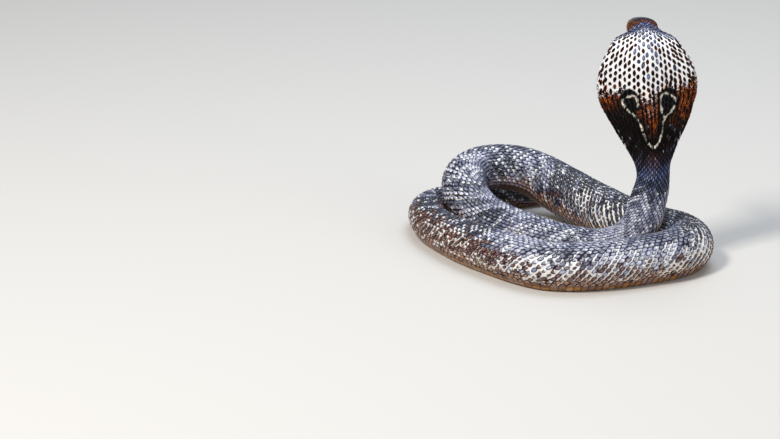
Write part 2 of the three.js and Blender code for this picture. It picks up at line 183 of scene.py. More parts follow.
def smoothThrough(knots, values, places):
    # a cubic through the values at the knots that never overshoots, for each row of values
    steps = np.diff(knots)
    slopes = np.diff(values, axis=1) / steps
    before, after = slopes[:, :-1], slopes[:, 1:]
    same = before * after > 0
    weight1, weight2 = 2 * steps[1:] + steps[:-1], steps[1:] + 2 * steps[:-1]
    mean = (weight1 + weight2) / (weight1 / np.where(same, before, 1) + weight2 / np.where(same, after, 1))
    tangents = np.concatenate([slopes[:, :1], mean * same, slopes[:, -1:]], axis=1)
    index = np.clip(np.searchsorted(knots, places) - 1, 0, len(knots) - 2)
    step = steps[index]
    t = (places - knots[index]) / step
    return hermite(values[:, index], values[:, index + 1], tangents[:, index] * step,
                   tangents[:, index + 1] * step, t)


def bodySection(girth, halfWidth, places):
    # half of the ring, for c from 0 to 2: how far to the side and how far to the back
    girth, halfWidth = girth[:, None], halfWidth[:, None]
    spread = spreadOf(girth, halfWidth)
    footWidth, footDepth = ringDims["hoodFoot"]
    ridgeWidth, ridgeRise = ringDims["hoodRidge"]
    edge = ringDims["hoodEdge"]
    backKnots = np.arange(ringDims["backKnots"] + 1) / ringDims["backKnots"]
    knots = np.concatenate([[-backKnots[1]], backKnots, ringDims["bellyKnots"], [2.4]])
    angles = ringDims["backSweep"] * backKnots
    hoodX = np.concatenate([np.array(ringDims["hoodShares"]) * halfWidth, footWidth * girth], axis=1)
    cup = ringDims["hoodCup"] * hoodX**2 / halfWidth
    hoodZ = -cup + edge + (ridgeRise * girth - edge) * bell(hoodX, ridgeWidth * halfWidth)
    hoodZ[:, 5:6] = -cup[:, 5:6]
    hoodZ[:, 6:7] = -cup[:, 6:7] - edge
    hoodZ[:, 7:8] = -footDepth * girth
    backX = halfWidth * np.sin(angles) * (1 - spread) + hoodX * spread
    backZ = ringDims["backTop"] * girth * np.cos(angles) * (1 - spread) + hoodZ * spread
    lowX = (halfWidth + (girth - halfWidth) * spread) * np.array(ringDims["bellyWidths"])
    lowZ = -girth * (1 + ringDims["hoodDeeper"] * spread) * np.array(ringDims["bellyDepths"])
    x = np.concatenate([-backX[:, 1:2], backX, lowX, -lowX[:, 2:3]], axis=1)
    z = np.concatenate([backZ[:, 1:2], backZ, lowZ, lowZ[:, 2:3]], axis=1)
    return smoothThrough(knots, x, places), smoothThrough(knots, z, places)


# The head, from its joint with the neck: distance forward, half width, top, bottom, height of the widest line
# and squareness of its section.
headDims = {
    "rows": [
        (0, 12.2, 9, -9, 0, 2), (4, 13, 9.6, -9.3, 0, 2.1), (9, 14, 9.7, -9.3, 0.2, 2.2),
        (14, 14.3, 9.5, -8.9, 0.2, 2.3), (19, 13.8, 9.3, -8.4, 0.2, 2.4), (24, 12.6, 9.1, -7.8, 0.2, 2.5),
        (28.5, 11.4, 8.6, -7.2, 0, 2.5), (33, 10, 7.4, -6.6, -0.2, 2.4), (37, 8.6, 6.1, -6, -0.4, 2.3),
        (40, 6.6, 4.5, -5.1, -0.5, 2.2), (41.6, 4.2, 2.8, -3.8, -0.6, 2.1), (42.3, 0.05, -0.5, -0.7, -0.6, 2),
    ],
    "stepsPerRow": 12,
    "neckBlend": 7,
}


def headSection(rows, places):
    halfWidth, top, bottom, widest, square = (rows[:, k:k + 1] for k in range(1, 6))
    sweep = ringDims["backSweep"]
    angle = np.where(places <= 1, sweep * places, sweep + (math.pi - sweep) * (places - 1))
    across = np.sin(angle) ** (2 / square)
    upward = np.abs(np.cos(angle)) ** (2 / square)
    reach = np.where(np.cos(angle) > 0, top - widest, bottom - widest)
    return halfWidth * across, widest + reach * upward


finePlaces = np.linspace(0, 2, 2 * ringDims["fineSteps"] + 1)
headRows = splineThrough([(*row[:3], *row) for row in headDims["rows"]], headDims["stepsPerRow"])[:, 3:]
headRows = headRows[np.concatenate([[True], np.diff(headRows[:, 0]) > 1e-3])][::-1]

# every row of the skin, from the snout (a distance below 0) to the tip of the tail
rowPlaces = np.concatenate([-headRows[:, 0], np.arange(0.5, bodyEnd, 0.5), [bodyEnd]])
headCount = len(headRows)
napeRow = headCount - 1
middles, alongs, backs, sides, girths, halfWidths = stationsAt(np.maximum(rowPlaces, 0))
for table in (alongs, backs, sides, girths, halfWidths):
    table[:headCount] = table[napeRow]
middles[:headCount] = middles[napeRow] - alongs[napeRow] * headRows[:, :1]
ringX, ringZ = bodySection(girths, halfWidths, finePlaces)
snoutX, snoutZ = headSection(headRows, finePlaces)
headShare = ease(0, headDims["neckBlend"], headRows[:, :1])
ringX[:headCount] += (snoutX - ringX[:headCount]) * headShare
ringZ[:headCount] += (snoutZ - ringZ[:headCount]) * headShare
print("route:", len(rowPlaces), "rows,", round(bodyEnd), "mm from nape to tail")

# The back of each ring is divided by the length of skin from the spine, so that rows of scales keep one
# width. Skin on the underside of the hood counts for less, as its scales are wider apart. The coat lies over
# the skin by one depth on the body and by another on the head.
coatDims = {
    "depth": 0.55,
    "headDepth": 2.3,
    "headFrom": -11,
    "slimShare": 0.45,
    "blendRows": 8,
    "underHood": 0.72,
    "underFrom": (0.66, 0.76),
    "backSteps": 120,
    "bellySteps": 12,
}
fineBack = ringDims["fineSteps"]
stretches = np.hypot(np.diff(ringX, axis=1), np.diff(ringZ, axis=1))[:, :fineBack]
underside = ease(*coatDims["underFrom"], finePlaces[1:fineBack + 1])
stretches *= 1 - (1 - coatDims["underHood"]) * spreadOf(girths, halfWidths)[:, None] * underside
walked = np.concatenate([np.zeros((len(rowPlaces), 1)), np.cumsum(stretches, axis=1)], axis=1)
halfShares = np.linspace(0, 1, coatDims["backSteps"] + 1)
placeOfShare = np.stack([np.interp(halfShares * row[-1], row, finePlaces[:fineBack + 1]) for row in walked])


def ringsToPoints(x, z):
    return middles[:, None] + x[..., None] * sides[:, None] + z[..., None] * backs[:, None]


def mirrored(half, sign):
    return np.concatenate([sign * half[:, :0:-1], half], axis=1)


def readRows(table, places):
    return np.stack([np.interp(row, finePlaces, values) for row, values in zip(places, table)])


bellyPlaces = np.tile(np.linspace(1, 2, coatDims["bellySteps"] + 1), (len(rowPlaces), 1))
backSides = readRows(ringX, placeOfShare)
backPoints = ringsToPoints(mirrored(backSides, -1), mirrored(readRows(ringZ, placeOfShare), 1))
halfBellyX, halfBellyZ = readRows(ringX, bellyPlaces), readRows(ringZ, bellyPlaces)
bellyPoints = ringsToPoints(np.concatenate([halfBellyX, -halfBellyX[:, -2::-1]], axis=1),
                            np.concatenate([halfBellyZ, halfBellyZ[:, -2::-1]], axis=1))
wholeRing = np.concatenate([backPoints, bellyPoints[:, 1:-1]], axis=1)
backCount = backPoints.shape[1]


def outwardOf(ring):
    # normals of a table of closed rings
    across = np.roll(ring, -1, axis=1) - np.roll(ring, 1, axis=1)
    return unit(np.cross(across, np.gradient(ring, axis=0)))


def closedBelly(table):
    # the part of the rings from the left edge of the belly to the right one
    return np.concatenate([table[:, backCount - 1:], table[:, :1]], axis=1)


ringNormals = outwardOf(wholeRing)
insets = np.where(rowPlaces < coatDims["headFrom"], coatDims["headDepth"], coatDims["depth"])
insetWindow = 2 * coatDims["blendRows"] + 1
insets = np.pad(insets, coatDims["blendRows"], mode="edge")
insets = np.convolve(insets, np.ones(insetWindow) / insetWindow, mode="valid")
slimness = np.concatenate([headRows[:, 1] * 0.5, girths[headCount:]])
insets = np.minimum(insets, coatDims["slimShare"] * slimness)
skinRing = wholeRing - ringNormals * insets[:, None, None]
backTables = wholeRing[:, :backCount], ringNormals[:, :backCount]
bellyTables = closedBelly(wholeRing), closedBelly(ringNormals)
print("rings:", wholeRing.shape)


def readTable(table, s, column):
    # a table of rows and columns of places read between its rows and columns
    row = np.clip(np.interp(s, rowPlaces, np.arange(len(rowPlaces))), 0, len(rowPlaces) - 1.001)
    column = np.clip(column, 0, table.shape[1] - 1.001)
    r, c = row.astype(int), column.astype(int)
    fr, fc = (row - r)[..., None], (column - c)[..., None]
    low = table[r, c] * (1 - fc) + table[r, c + 1] * fc
    high = table[r + 1, c] * (1 - fc) + table[r + 1, c + 1] * fc
    return low * (1 - fr) + high * fr


def onSurface(tables, s, across, height):
    # a place over the back, where across runs from -1 on the right edge of the belly to 1 on the left one, or
    # over the belly, where it runs from the left edge to the right
    places, normals = tables
    column = (across + 1) / 2 * (places.shape[1] - 1)
    return readTable(places, s, column) + readTable(normals, s, column) * height[..., None]


def sideOf(s, share):
    # how far left of the spine a place of the back lies, in its ring's own plane
    row = np.clip(np.searchsorted(rowPlaces, s), 0, len(rowPlaces) - 1)
    column = np.abs(share) * coatDims["backSteps"]
    low = np.clip(column.astype(int), 0, coatDims["backSteps"] - 1)
    part = column - low
    return (backSides[row, low] * (1 - part) + backSides[row, low + 1] * part) * np.sign(share)


# The markings, shared by the skin and the coat, and colours of painted sheen and glints. Colours are linear
# red, green and blue.
coatColours = {
    "whiteSkin": (0.90, 0.905, 0.92),
    "creamSkin": (0.80, 0.72, 0.60),
    "orangeSkin": (0.56, 0.120, 0.012),
    "sootSkin": (0.002, 0.003, 0.003),
    "duskSkin": (0.016, 0.017, 0.026),
    "blackScale": (0.0022, 0.0020, 0.0024),
    "umberScale": (0.034, 0.007, 0.003),
    "nightScale": (0.012, 0.014, 0.030),
    "lilacScale": (0.17, 0.20, 0.38),
    "slateScale": (0.138, 0.152, 0.240),
    "paleScale": (0.405, 0.416, 0.545),
    "maroonScale": (0.085, 0.022, 0.019),
    "earthScale": (0.20, 0.072, 0.028),
    "rustScale": (0.28, 0.080, 0.018),
    "tanScale": (0.56, 0.35, 0.25),
    # painted glints: blue for the black scales of the neck
    "neckGlintBlue": (0.055, 0.085, 0.22),
    "ochreScute": (0.56, 0.23, 0.030),
    "bellyCream": (0.72, 0.62, 0.44),
    "bellyBand": (0.020, 0.010, 0.006),
    "headBrown": (0.085, 0.045, 0.026),
    # painted sheen: slate-blue for the top of the head, over its brown
    "crownSheenSlate": (0.040, 0.048, 0.068),
    "cheekRust": (0.21, 0.064, 0.018),
    "lipCream": (0.52, 0.42, 0.28),
}
# The spectacle mark on the back of the hood: left of the spine and distance from the nape, in mm, along its
# white line from the inner side of the left loop, round by the U at the foot, to that of the right loop.
markDims = {
    "line": [
        (10.9, 86.8), (11.6, 79.7), (13.1, 76), (15.9, 75.4), (19, 76.3), (22.6, 76.4), (24.8, 80.4),
        (23.5, 84.8), (19.8, 90), (15.8, 93.8), (13.4, 97.2), (10.9, 102.6), (9.2, 107.4), (8.1, 112),
        (5.1, 120), (2.1, 124), (-1, 126.2), (-4, 124.6), (-6.9, 120.7), (-9.4, 113.9), (-10.8, 104),
        (-12.6, 101), (-15, 98.6), (-18.8, 96), (-22.2, 91.8), (-24.7, 88.2), (-24.4, 84.4), (-21.7, 80.6),
        (-17.9, 78.2), (-14.8, 76.4), (-12.3, 77.6), (-10.8, 81), (-10.4, 88), (-10.8, 95), (-12.2, 100),
    ],
    "loops": [(17.8, 83.5, 6.6, 8.2), (-17.6, 87, 6.8, 9.8)],
    "white": (0.6192, 1.1008),
    "black": (2.52, 4.14),
    "capRise": 2.4,
    "capWider": (3, 3.4),
    "breaks": 3.6,
    "within": (34, 62, 136),
}
# What the scales and the skin between them do along the body, by distance from the nape: how pale the back is
# (0 black, 1 pale blue), how brown the flanks are and from which share of the back, how rusty the lowest rows
# are, how much light skin shows between the scales of the back and of the flanks, and how many scales have a
# white fleck at their root.
bodyShade = {
    "at": [0, 144, 160, 169, 186, 245, 350, 420, 500, 535, 560,
           640, 714, 760, 850, 925, 960, 1000, 1065, 1110, 1180, 1406],
    "pale": [0.1, 0, 0, 0.42, 0.84, 0.84, 0.58, 0.50, 0.60, 0.36, 0.12,
             0.12, 0.36, 0.82, 0.94, 0.82, 0.40, 0.18, 0.16, 0.24, 0.25, 0.2],
    "brown": [0, 0, 0, 0, 0, 0.05, 0.12, 0.12, 0.06, 0.10, 0.24,
              0.34, 0.42, 0.6, 0.86, 0.9, 0.94, 0.92, 0.9, 0.5, 0.2, 0.1],
    "brownFrom": [0.6, 0.6, 0.6, 0.6, 0.6, 0.6, 0.6, 0.6, 0.6, 0.54, 0.42,
                  0.42, 0.42, 0.46, 0.50, 0.44, 0.22, 0.06, 0.04, 0.2, 0.4, 0.5],
    "rust": [0, 0, 0, 0, 0, 0.3, 0.4, 0.4, 0.6, 0.8, 0.9, 0.9, 0.9, 1, 1, 1, 1, 1, 1, 0.9, 0.8, 0.6],
    "backSkin": [0.2, 0.02, 0.1, 0.4, 0.7, 0.56, 0.34, 0.32, 0.34, 0.5, 0.58,
                 0.58, 0.55, 0.54, 0.5, 0.48, 0.46, 0.46, 0.46, 0.3, 0.2, 0.2],
    "flankSkin": [0.2, 0.02, 0.1, 0.4, 0.7, 0.56, 0.36, 0.36, 0.42, 0.5, 0.56,
                  0.58, 0.68, 0.84, 0.89, 0.82, 0.60, 0.48, 0.46, 0.35, 0.2, 0.2],
    "fleck": [0, 0, 0, 0.25, 0.6, 0.6, 0.5, 0.62, 0.75, 0.6, 0.3,
              0.3, 0.4, 0.35, 0.3, 0.35, 0.45, 0.55, 0.55, 0.4, 0.4, 0.3],
}
# Where a feature sets in, and where it ends again if it does: mm from the nape, or a share of the back.
spans = {
    "napeSlate": (4, 15),
    "napeScales": (10, 21),
    "napeEdge": (8, 20),
    "headRear": (-6, 3),
    "headScales": (-5, 1),
    "headCrest": (-4.6, -3.4),
    "headBand": (-4.6, -3.4, 0.2, 1.4),
    "temples": (-4, 0),
    "blueMiddle": (36, 60),
    "hoodWhite": (65, 78),
    "hoodOrange": (62, 72),
    "hoodDark": (87, 104),
    "hoodSpecks": (102, 116),
    "pastHood": (128, 158),
    "pastGrain": (125, 170),
    "hoodStray": (8, 24, 70, 140),
    "hoodWild": (10, 24, 66, 120),
    "hoodRim": (10, 20, 100, 130),
    "hoodBelow": (0, 8, 135, 160),
    "archShade": (395, 430, 585, 640),
    "archNet": (530, 556, 650, 690),
    "archFoot": (540, 600, 760, 800),
    "farRun": (600, 680, 745, 785),
    "frontCoil": (740, 790, 925, 985),
    "leftCoil": (925, 985, 1090, 1150),
    "bodyScutes": (150, 240),
    "greyScutes": (170, 260),
    "ventScutes": (1180, 1300),
    "underRim": (0.71, 0.79),
    "underRimScales": (0.74, 0.79),
    "lowestRows": (0.86, 1),
    "netShares": (0.03, 0.16, 0.74, 0.84),
    "creamFlank": (0.5, 0.9),
    "napeEdgeShares": (0.6, 0.68),
    "templeShares": (0.32, 0.46),
    "lipShares": (0.78, 0.95),
}
# mm round half the back, the slant of the rows of scales and how far their streaks are drawn out
slantDims = {"round": 48, "back": 0.59, "down": 0.81, "drawn": 3.2}


def over(name, value):
    # 0 before a span and 1 after it, or 0 again past its second end
    start, full, *end = spans[name]
    share = ease(start, full, value)
    return share * (1 - ease(*end, value)) if end else share


def alongBody(s, name):
    return np.interp(s, bodyShade["at"], bodyShade[name])


def patches(s, around, size, seed):
    # soft patches between 0 and 1, over the distance along and the distance round, about size mm across
    rng = np.random.default_rng(seed)
    turn = rng.uniform(0, 2 * math.pi, (7, 2))
    total = 0
    for (heading, phase), pace in zip(turn, rng.uniform(0.6, 1.6, 7)):
        way = np.cos(heading) * s + np.sin(heading) * around
        total = total + np.sin(math.pi * pace * way / size + phase)
    return np.clip(0.5 + total / 5.5, 0, 1)


def slantWay(s, share):
    # along and across the slanting rows of scales, which run back and down from the spine
    around = slantDims["round"] * np.abs(share)
    back, down = slantDims["back"], slantDims["down"]
    return (back * s + down * around) / slantDims["drawn"], down * s - back * around


def streaks(s, share, size, seed):
    return patches(*slantWay(s, share), size, seed)


def netBreaks(s, share):
    # where the light net on the flank of the front coil is broken up
    return ease(0.48, 0.66, patches(s, slantDims["round"] * share, 6.5, 37)) * over("frontCoil", s)


def tint(name, strength=1.0):
    # a colour of the table, or one shade of it for each of an array of strengths
    return np.array(coatColours[name]) * np.asarray(strength)[..., None]


def layered(colours, *layers):
    # colours with others laid over them, each a colour's name or an array, and its share
    colours = tint(colours) if isinstance(colours, str) else colours
    for colour, share in layers:
        target = tint(colour) if isinstance(colour, str) else colour
        colours = colours + (target - colours) * np.clip(share, 0, 1)[..., None]
    return colours


markCurve = splineThrough([(x, s, 0) for x, s in markDims["line"]], 16)[:, :2]


def markOn(x, s):
    # how white and how black the spectacle mark makes a place on the back of the hood
    nearest = np.full(x.shape, 1e3)
    reach, first, last = markDims["within"]
    near = (np.abs(x) < reach) & (s > first) & (s < last)
    spots = np.stack([x[near], s[near]], axis=-1)
    if len(spots):
        nearest[near] = nearestTo(np.pad(spots, ((0, 0), (0, 1))), np.pad(markCurve, ((0, 0), (0, 1))))
    inLoop = np.zeros(x.shape)
    wider, longer = markDims["capWider"]
    for cx, cs, rx, rs in markDims["loops"]:
        inside = ((x - cx) / rx) ** 2 + ((s - cs) / rs) ** 2
        cap = ((x - cx) / (rx + wider)) ** 2 + ((s - cs + markDims["capRise"]) / (rs + longer)) ** 2
        inLoop = np.maximum(inLoop, 1 - ease(0.9, 1.1, np.minimum(inside, cap)))
    ragged = 0.5 * (patches(s, x, 2.2, 17) - 0.5)
    white = 1 - ease(*markDims["white"], nearest + ragged)
    white = white * ease(0.22, 0.34, patches(s, x, markDims["breaks"], 19))
    return white, np.maximum(1 - ease(*markDims["black"], nearest), inLoop)


def nearestTo(points, samples):
    tree = KDTree(len(samples))
    for index, sample in enumerate(samples):
        tree.insert(sample, index)
    tree.balance()
    return np.array([tree.find(point)[2] for point in points])


def hoodParts(x, s, share):
    # how much a place belongs to the spread hood, its white half, orange zone, dark foot and underside
    wobble = 5 * (patches(s, x, 5, 11) - 0.5)
    middle = bell(x, 8)
    white = 1 - over("hoodWhite", s + wobble - 10 * middle + 1.5 * (x > 12))
    orange = over("hoodOrange", s + wobble - 8 * middle)
    dark = over("hoodDark", s + 1.2 * wobble + 10 * (x > 12) - 9 * (x < -12) - 15 * middle)
    dark = np.clip(dark - 0.35 * bell(x, 6) * bell(s - 138, 9), 0, 1)
    under = over("underRim", np.abs(share)) * (s < routeDims["hoodEnd"])
    return 1 - over("pastHood", s), white, orange, dark, under


def skinColours(s, share, x):
    # light and dark colour of the skin between the scales, and how much of it is light
    place = np.abs(share)
    front = over("frontCoil", s)
    onHood, white, orange, dark, under = hoodParts(x, s, share)
    markWhite, markBlack = (mark * (1 - under) for mark in markOn(x, s))
    light = layered(
        "whiteSkin",
        ("slateScale", 1 - over("napeSlate", s - 0.15 * np.abs(x))),
        (tint("orangeSkin", 0.74 - 0.71 * dark), 1 - ease(0.02, 0.10, white + 0.06 * bell(x, 8) * (s < 97))),
        ("blackScale", markBlack),
        ("creamSkin", markWhite),
        ("creamSkin", under),
    )
    gaps = layered(
        "sootSkin",
        ("umberScale", 0.6 * orange * (1 - dark)),
        ("blackScale", markBlack),
        ("creamSkin", 0.7 * markWhite),
    )
    openness = np.maximum(np.maximum(white, 0.42 - 0.38 * dark), under)
    low = ease(0.35 - 0.14 * front, 0.75 - 0.08 * front, place)
    creamy = 0.12 + 0.5 * over("creamFlank", place) + 0.5 * over("leftCoil", s) + 0.3 * over("archFoot", s)
    bodyLight = layered("whiteSkin", ("creamSkin", creamy))
    bodyGaps = layered("duskSkin", ("umberScale", alongBody(s, "brown") * low))
    bodyOpen = alongBody(s, "backSkin") * (1 - low) + alongBody(s, "flankSkin") * low
    bodyOpen = bodyOpen * (1 - 0.5 * over("lowestRows", place)) * (1 - 0.38 * netBreaks(s, share))
    nape = ("headBrown", 1 - over("headRear", s))
    light = layered(bodyLight, (light, onHood), nape)
    gaps = layered(bodyGaps, (gaps, onHood), nape)
    return light, gaps, np.clip(bodyOpen + (openness - bodyOpen) * onHood, 0, 1)


def bellyColours(s, across):
    # the underside: cream throat, two dark bands across the hood, then cream to ochre along the body, and tan
    # and brown where the scutes turn up the side; painted shade under the arch, and dark blots on the scutes'
    # outer ends that are partly painted shade
    out = np.abs(across)
    onBody = over("bodyScutes", s)
    mottle = patches(s, across * 20, 7, 33)
    clouds = patches(s, across * 20, 22, 31)
    # dark blots on the outer ends of the scutes: partly their own darker ends, partly painted shade along the
    # lower edge
    blotsAndShade = ease(0.42, 0.62, patches(s, across * 30, 4, 35)) * ease(0.5, 0.9, out)
    bands = np.maximum(1 - ease(4.5, 8, np.abs(s - 84)), 1 - ease(7, 11, np.abs(s - 112)))
    return layered(
        "bellyCream",
        ("bellyBand", 0.975 * bands),
        ("ochreScute", ease(0.45, 0.8, out + 0.3 * (mottle - 0.5)) * onBody),
        ("maroonScale", 0.85 * ease(0.84, 0.93, out + 0.2 * (mottle - 0.5)) * onBody),
        ("tanScale", 0.7 * ease(0.55, 0.7, mottle) * ease(0.86, 0.93, out) * onBody),
        # painted shade: the sides of the scutes under the raised arch darkened to umber
        ("umberScale", 0.86 * over("archShade", s) * ease(0.4, 0.7, out)),
        ("umberScale", 0.36 * blotsAndShade * onBody),
        ("slateScale", 0.4 * ease(0.6, 1, clouds) * over("greyScutes", s) + 0.3 * over("ventScutes", s)),
    )


def scaleColours(s, share, x, rng):
    # colour of each scale's crown with its painted highlight, of its middle and of its rim, and how white a
    # fleck it has at its root
    count = len(s)
    place = np.abs(share)
    jitter = rng.normal(0, 1, count)
    lot = rng.random((6, count))
    onHood, _, orange, dark, under = hoodParts(x, s, share)
    nearNape = 1 - over("napeScales", s - 0.24 * np.abs(x))
    blueness = 0.95 * bell(x, 11) * (1 - over("blueMiddle", s)) + 1.2 * nearNape
    blue = ease(0.25, 0.85, blueness + 0.28 * jitter)
    bright = orange * (1 - 0.96 * dark)
    # painted highlights: a few blue-grey specks on the black scales of the hood's dark foot
    speck = dark * (lot[4] < 0.11) * over("hoodSpecks", s) * (1 - 0.8 * (x > 0))
    eyedSpot = under * (1 - ease(7, 10, np.hypot(s - 60, (place - 0.87) * 55)))
    core = layered(
        "umberScale",
        ("blackScale", 0.78 + 0.25 * jitter + 0.5 * orange),
        ("lilacScale", blue * (0.45 + 0.5 * lot[0])),
        ("nightScale", 0.55 * nearNape * (lot[1] < 0.35)),
        ("blackScale", 0.9 * orange),
        ("orangeSkin", 0.4 * bright * (lot[3] < 0.12)),
        ("slateScale", 0.18 * speck),
        ("creamSkin", under * (0.92 + 0.05 * jitter)),
        ("blackScale", eyedSpot),
    )
    rim = layered(
        tint("rustScale", 0.4),
        ("umberScale", 0.8 + 0.25 * jitter),
        ("nightScale", blue),
        (tint("blackScale", 1.5), dark),
        (tint("orangeSkin", 0.14 + 0.9 * lot[2] ** 1.8), bright),
        (tint("creamSkin", 0.8), under),
        ("blackScale", eyedSpot),
    )
    # painted highlight: about half of the blue scales get a whitened crown
    crownWithHighlight = layered(core, ("whiteSkin", 0.55 * blue * (lot[5] < 0.5) * (1 - under)))

    drawn = streaks(s, share, 8, 41) - 0.5
    shade = alongBody(s, "pale") + 0.7 * drawn + 0.35 * (patches(s, share * 50, 30, 43) - 0.5) + 0.11 * jitter
    # painted shade, with darker scales: the top of the far run darkened where it passes beside the neck
    shade = shade - 0.45 * over("farRun", s) * (1 - ease(0.25, 0.6, place))
    shade = shade - 0.10 * over("frontCoil", s) * ease(0.14, 0.34, place)
    low = place + 0.16 * (patches(s, share * 50, 15, 51) - 0.5) + 0.04 * jitter
    past = low - alongBody(s, "brownFrom")
    brown = ease(0, 0.2, past) * (lot[0] < alongBody(s, "brown") * (0.55 + 0.6 * ease(0.1, 0.35, past)))
    earthy = over("leftCoil", s)
    browns = layered("maroonScale", ("earthScale", earthy * (lot[1] < 0.5)))
    rust = ease(0.74, 0.9, low) * alongBody(s, "rust")
    body = layered(
        "nightScale",
        ("slateScale", ease(0.05, 0.45, shade)),
        ("paleScale", ease(0.45, 1.05, shade)),
        # painted glints: many black scales just past the hood tinted blue
        ("neckGlintBlue", 0.9 * bell(s - 152, 10) * (lot[3] < 0.6)),
        (browns * (1 - 0.5 * earthy * lot[4])[:, None], 0.92 * brown),
        ("tanScale", 0.8 * rust * (0.35 + 0.65 * (lot[2] < 0.65))),
        ("rustScale", 0.5 * rust),
    )
    bodyRim = layered(
        "nightScale",
        ("slateScale", 0.26 * ease(0.5, 1.1, shade)),
        ("umberScale", brown),
        (tint("umberScale", 0.3), rust),
    )
    # painted highlight: the crown of every scale of the body is whitened a little
    bodyCrownWithHighlight = layered(body, ("whiteSkin", 0.10 + 0.25 * (lot[5] < 0.3)))
    fleck = (lot[3] < alongBody(s, "fleck") * (0.65 + 1.4 * drawn)) * (0.6 + 0.4 * lot[4])
    fleck = fleck * (1 - onHood) * (place < 0.93)

    temple = (1 - over("temples", s)) * over("templeShares", place)
    edge = over("napeEdgeShares", place) * (1 - over("napeEdge", s))
    edge = edge * (1 - ease(0.72, 0.8, place) * (s > 4))
    rusty = np.maximum(np.maximum(over("headBand", s), temple), 0.85 * edge)
    # painted sheen: the crest scales at the top of the head slate-blue
    crest = (1 - over("headCrest", s)) * (1 - temple)
    head = [
        ("crownSheenSlate", crest),
        (tint("cheekRust", 0.7 + 0.6 * lot[1]), rusty * (1 - crest)),
        ("lipCream", (1 - over("headScales", s)) * over("lipShares", place)),
    ]
    crownWithHighlight = layered(bodyCrownWithHighlight, (crownWithHighlight, onHood), *head)
    core = layered(body, (core, onHood), *head)
    rim = layered(bodyRim, (rim, onHood), ("umberScale", rusty))
    tone = 1 + 0.13 * rng.normal(0, 1, (count, 1))
    return [np.clip(colours * tone, 0.0015, 0.95) for colours in (crownWithHighlight, core, rim)] + [fleck]


# One unwrap serves the skin and all that grows from it: the body's length folded into strips, each with the
# ring from the right edge of the belly over the back to its middle.
unwrapDims = {"strips": 5, "tuft": 0.003, "snout": 43, "backTurn": 0.72, "edge": 0.001}


def unwrapped(s, turn, stripS):
    # stripS says which strip holds the place, so that all corners of a face keep to one
    strips, snout = unwrapDims["strips"], unwrapDims["snout"]
    stripLength = (bodyEnd + snout) / strips
    strip = np.clip((stripS + snout) // stripLength, 0, strips - 1)
    u = np.clip((s + snout - strip * stripLength) / stripLength, 0, 1)
    return np.stack([0.01 + 0.98 * u, (strip + 0.02 + 0.96 * turn) / strips], axis=-1)


def turnOfBack(share):
    return unwrapDims["backTurn"] * (share + 1) / 2


def turnOfBelly(across):
    return unwrapDims["backTurn"] + (1 - unwrapDims["backTurn"]) * (across + 1) / 2


def inMap(coords):
    return np.clip(coords, unwrapDims["edge"], 1 - unwrapDims["edge"])


# Pieces
def clearSelection():
    for piece in bpy.context.selected_objects:
        piece.select_set(False)


def pick(piece):
    clearSelection()
    piece.select_set(True)
    bpy.context.view_layer.objects.active = piece


def finishPiece(piece, name, material, angle=None):
    piece.name = name
    piece.data.name = name
    piece.data.materials.clear()
    piece.data.materials.append(material)
    pick(piece)
    if angle is None:
        bpy.ops.object.shade_smooth()
    else:
        bpy.ops.object.shade_smooth_by_angle(angle=math.radians(angle))
    piece.select_set(False)
    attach(piece, "root")


def fill(layer, field, values):
    layer.foreach_set(field, values.astype(np.float32).ravel())


def setColours(mesh, name, colours, alpha=1.0):
    layer = mesh.color_attributes.new(name, "FLOAT_COLOR", "POINT")
    alphas = np.broadcast_to(alpha, (len(colours),))[:, None]
    fill(layer.data, "color", np.concatenate([colours, alphas], axis=1))


def setUvs(mesh, name, coords):
    fill(mesh.uv_layers.new(name=name).data, "uv", coords)


def takeShape(piece):
    # the corners and faces of a shape that was modelled once, for its copies
    corners = np.array([vertex.co[:] for vertex in piece.data.vertices])
    faces = [list(face.vertices) for face in piece.data.polygons]
    bpy.data.objects.remove(piece)
    return corners, faces


def pieceOfCopies(name, points, faces):
    # one piece of all copies of a shape, from the points of each copy, with the point of each of its loops
    copies, corners = points.shape[:2]
    faceLoops = np.concatenate(faces)
    faceSizes = np.tile([len(face) for face in faces], copies)
    loops = (np.arange(copies)[:, None] * corners + faceLoops).ravel()
    starts = np.cumsum(faceSizes) - faceSizes
    mesh = bpy.data.meshes.new(name)
    mesh.vertices.add(copies * corners)
    fill(mesh.vertices, "co", points * metre)
    mesh.loops.add(len(loops))
    mesh.loops.foreach_set("vertex_index", loops.astype(np.int32))
    mesh.polygons.add(len(starts))
    mesh.polygons.foreach_set("loop_start", starts.astype(np.int32))
    mesh.update(calc_edges=True)
    piece = bpy.data.objects.new(name, mesh)
    bpy.context.scene.collection.objects.link(piece)
    return piece, loops


def wrapGrid(ring):
    # a grid primitive wrapped round a table of closed rings, with the column and row of each of its points
    # and the point of each of its loops
    rows, columns = ring.shape[0] - 1, ring.shape[1] - 1
    clearSelection()
    bpy.ops.mesh.primitive_grid_add(x_subdivisions=columns, y_subdivisions=rows, size=2)
    piece = bpy.context.object
    mesh = piece.data
    for layer in list(mesh.uv_layers):
        mesh.uv_layers.remove(layer)
    places = np.empty(len(mesh.vertices) * 3, np.float32)
    mesh.vertices.foreach_get("co", places)
    places = places.reshape(-1, 3)
    column = np.rint((places[:, 0] + 1) / 2 * columns).astype(int)
    row = np.rint((places[:, 1] + 1) / 2 * rows).astype(int)
    fill(mesh.vertices, "co", ring[row, column] * metre)
    loops = np.empty(len(mesh.loops), np.int32)
    mesh.loops.foreach_get("vertex_index", loops)
    return piece, column, row, loops


def weld(piece, distance=0.002 * metre):
    pick(piece)
    bpy.ops.object.mode_set(mode="EDIT")
    bpy.ops.mesh.select_all(action="SELECT")
    bpy.ops.mesh.remove_doubles(threshold=distance)
    bpy.ops.mesh.normals_make_consistent(inside=False)
    bpy.ops.object.mode_set(mode="OBJECT")


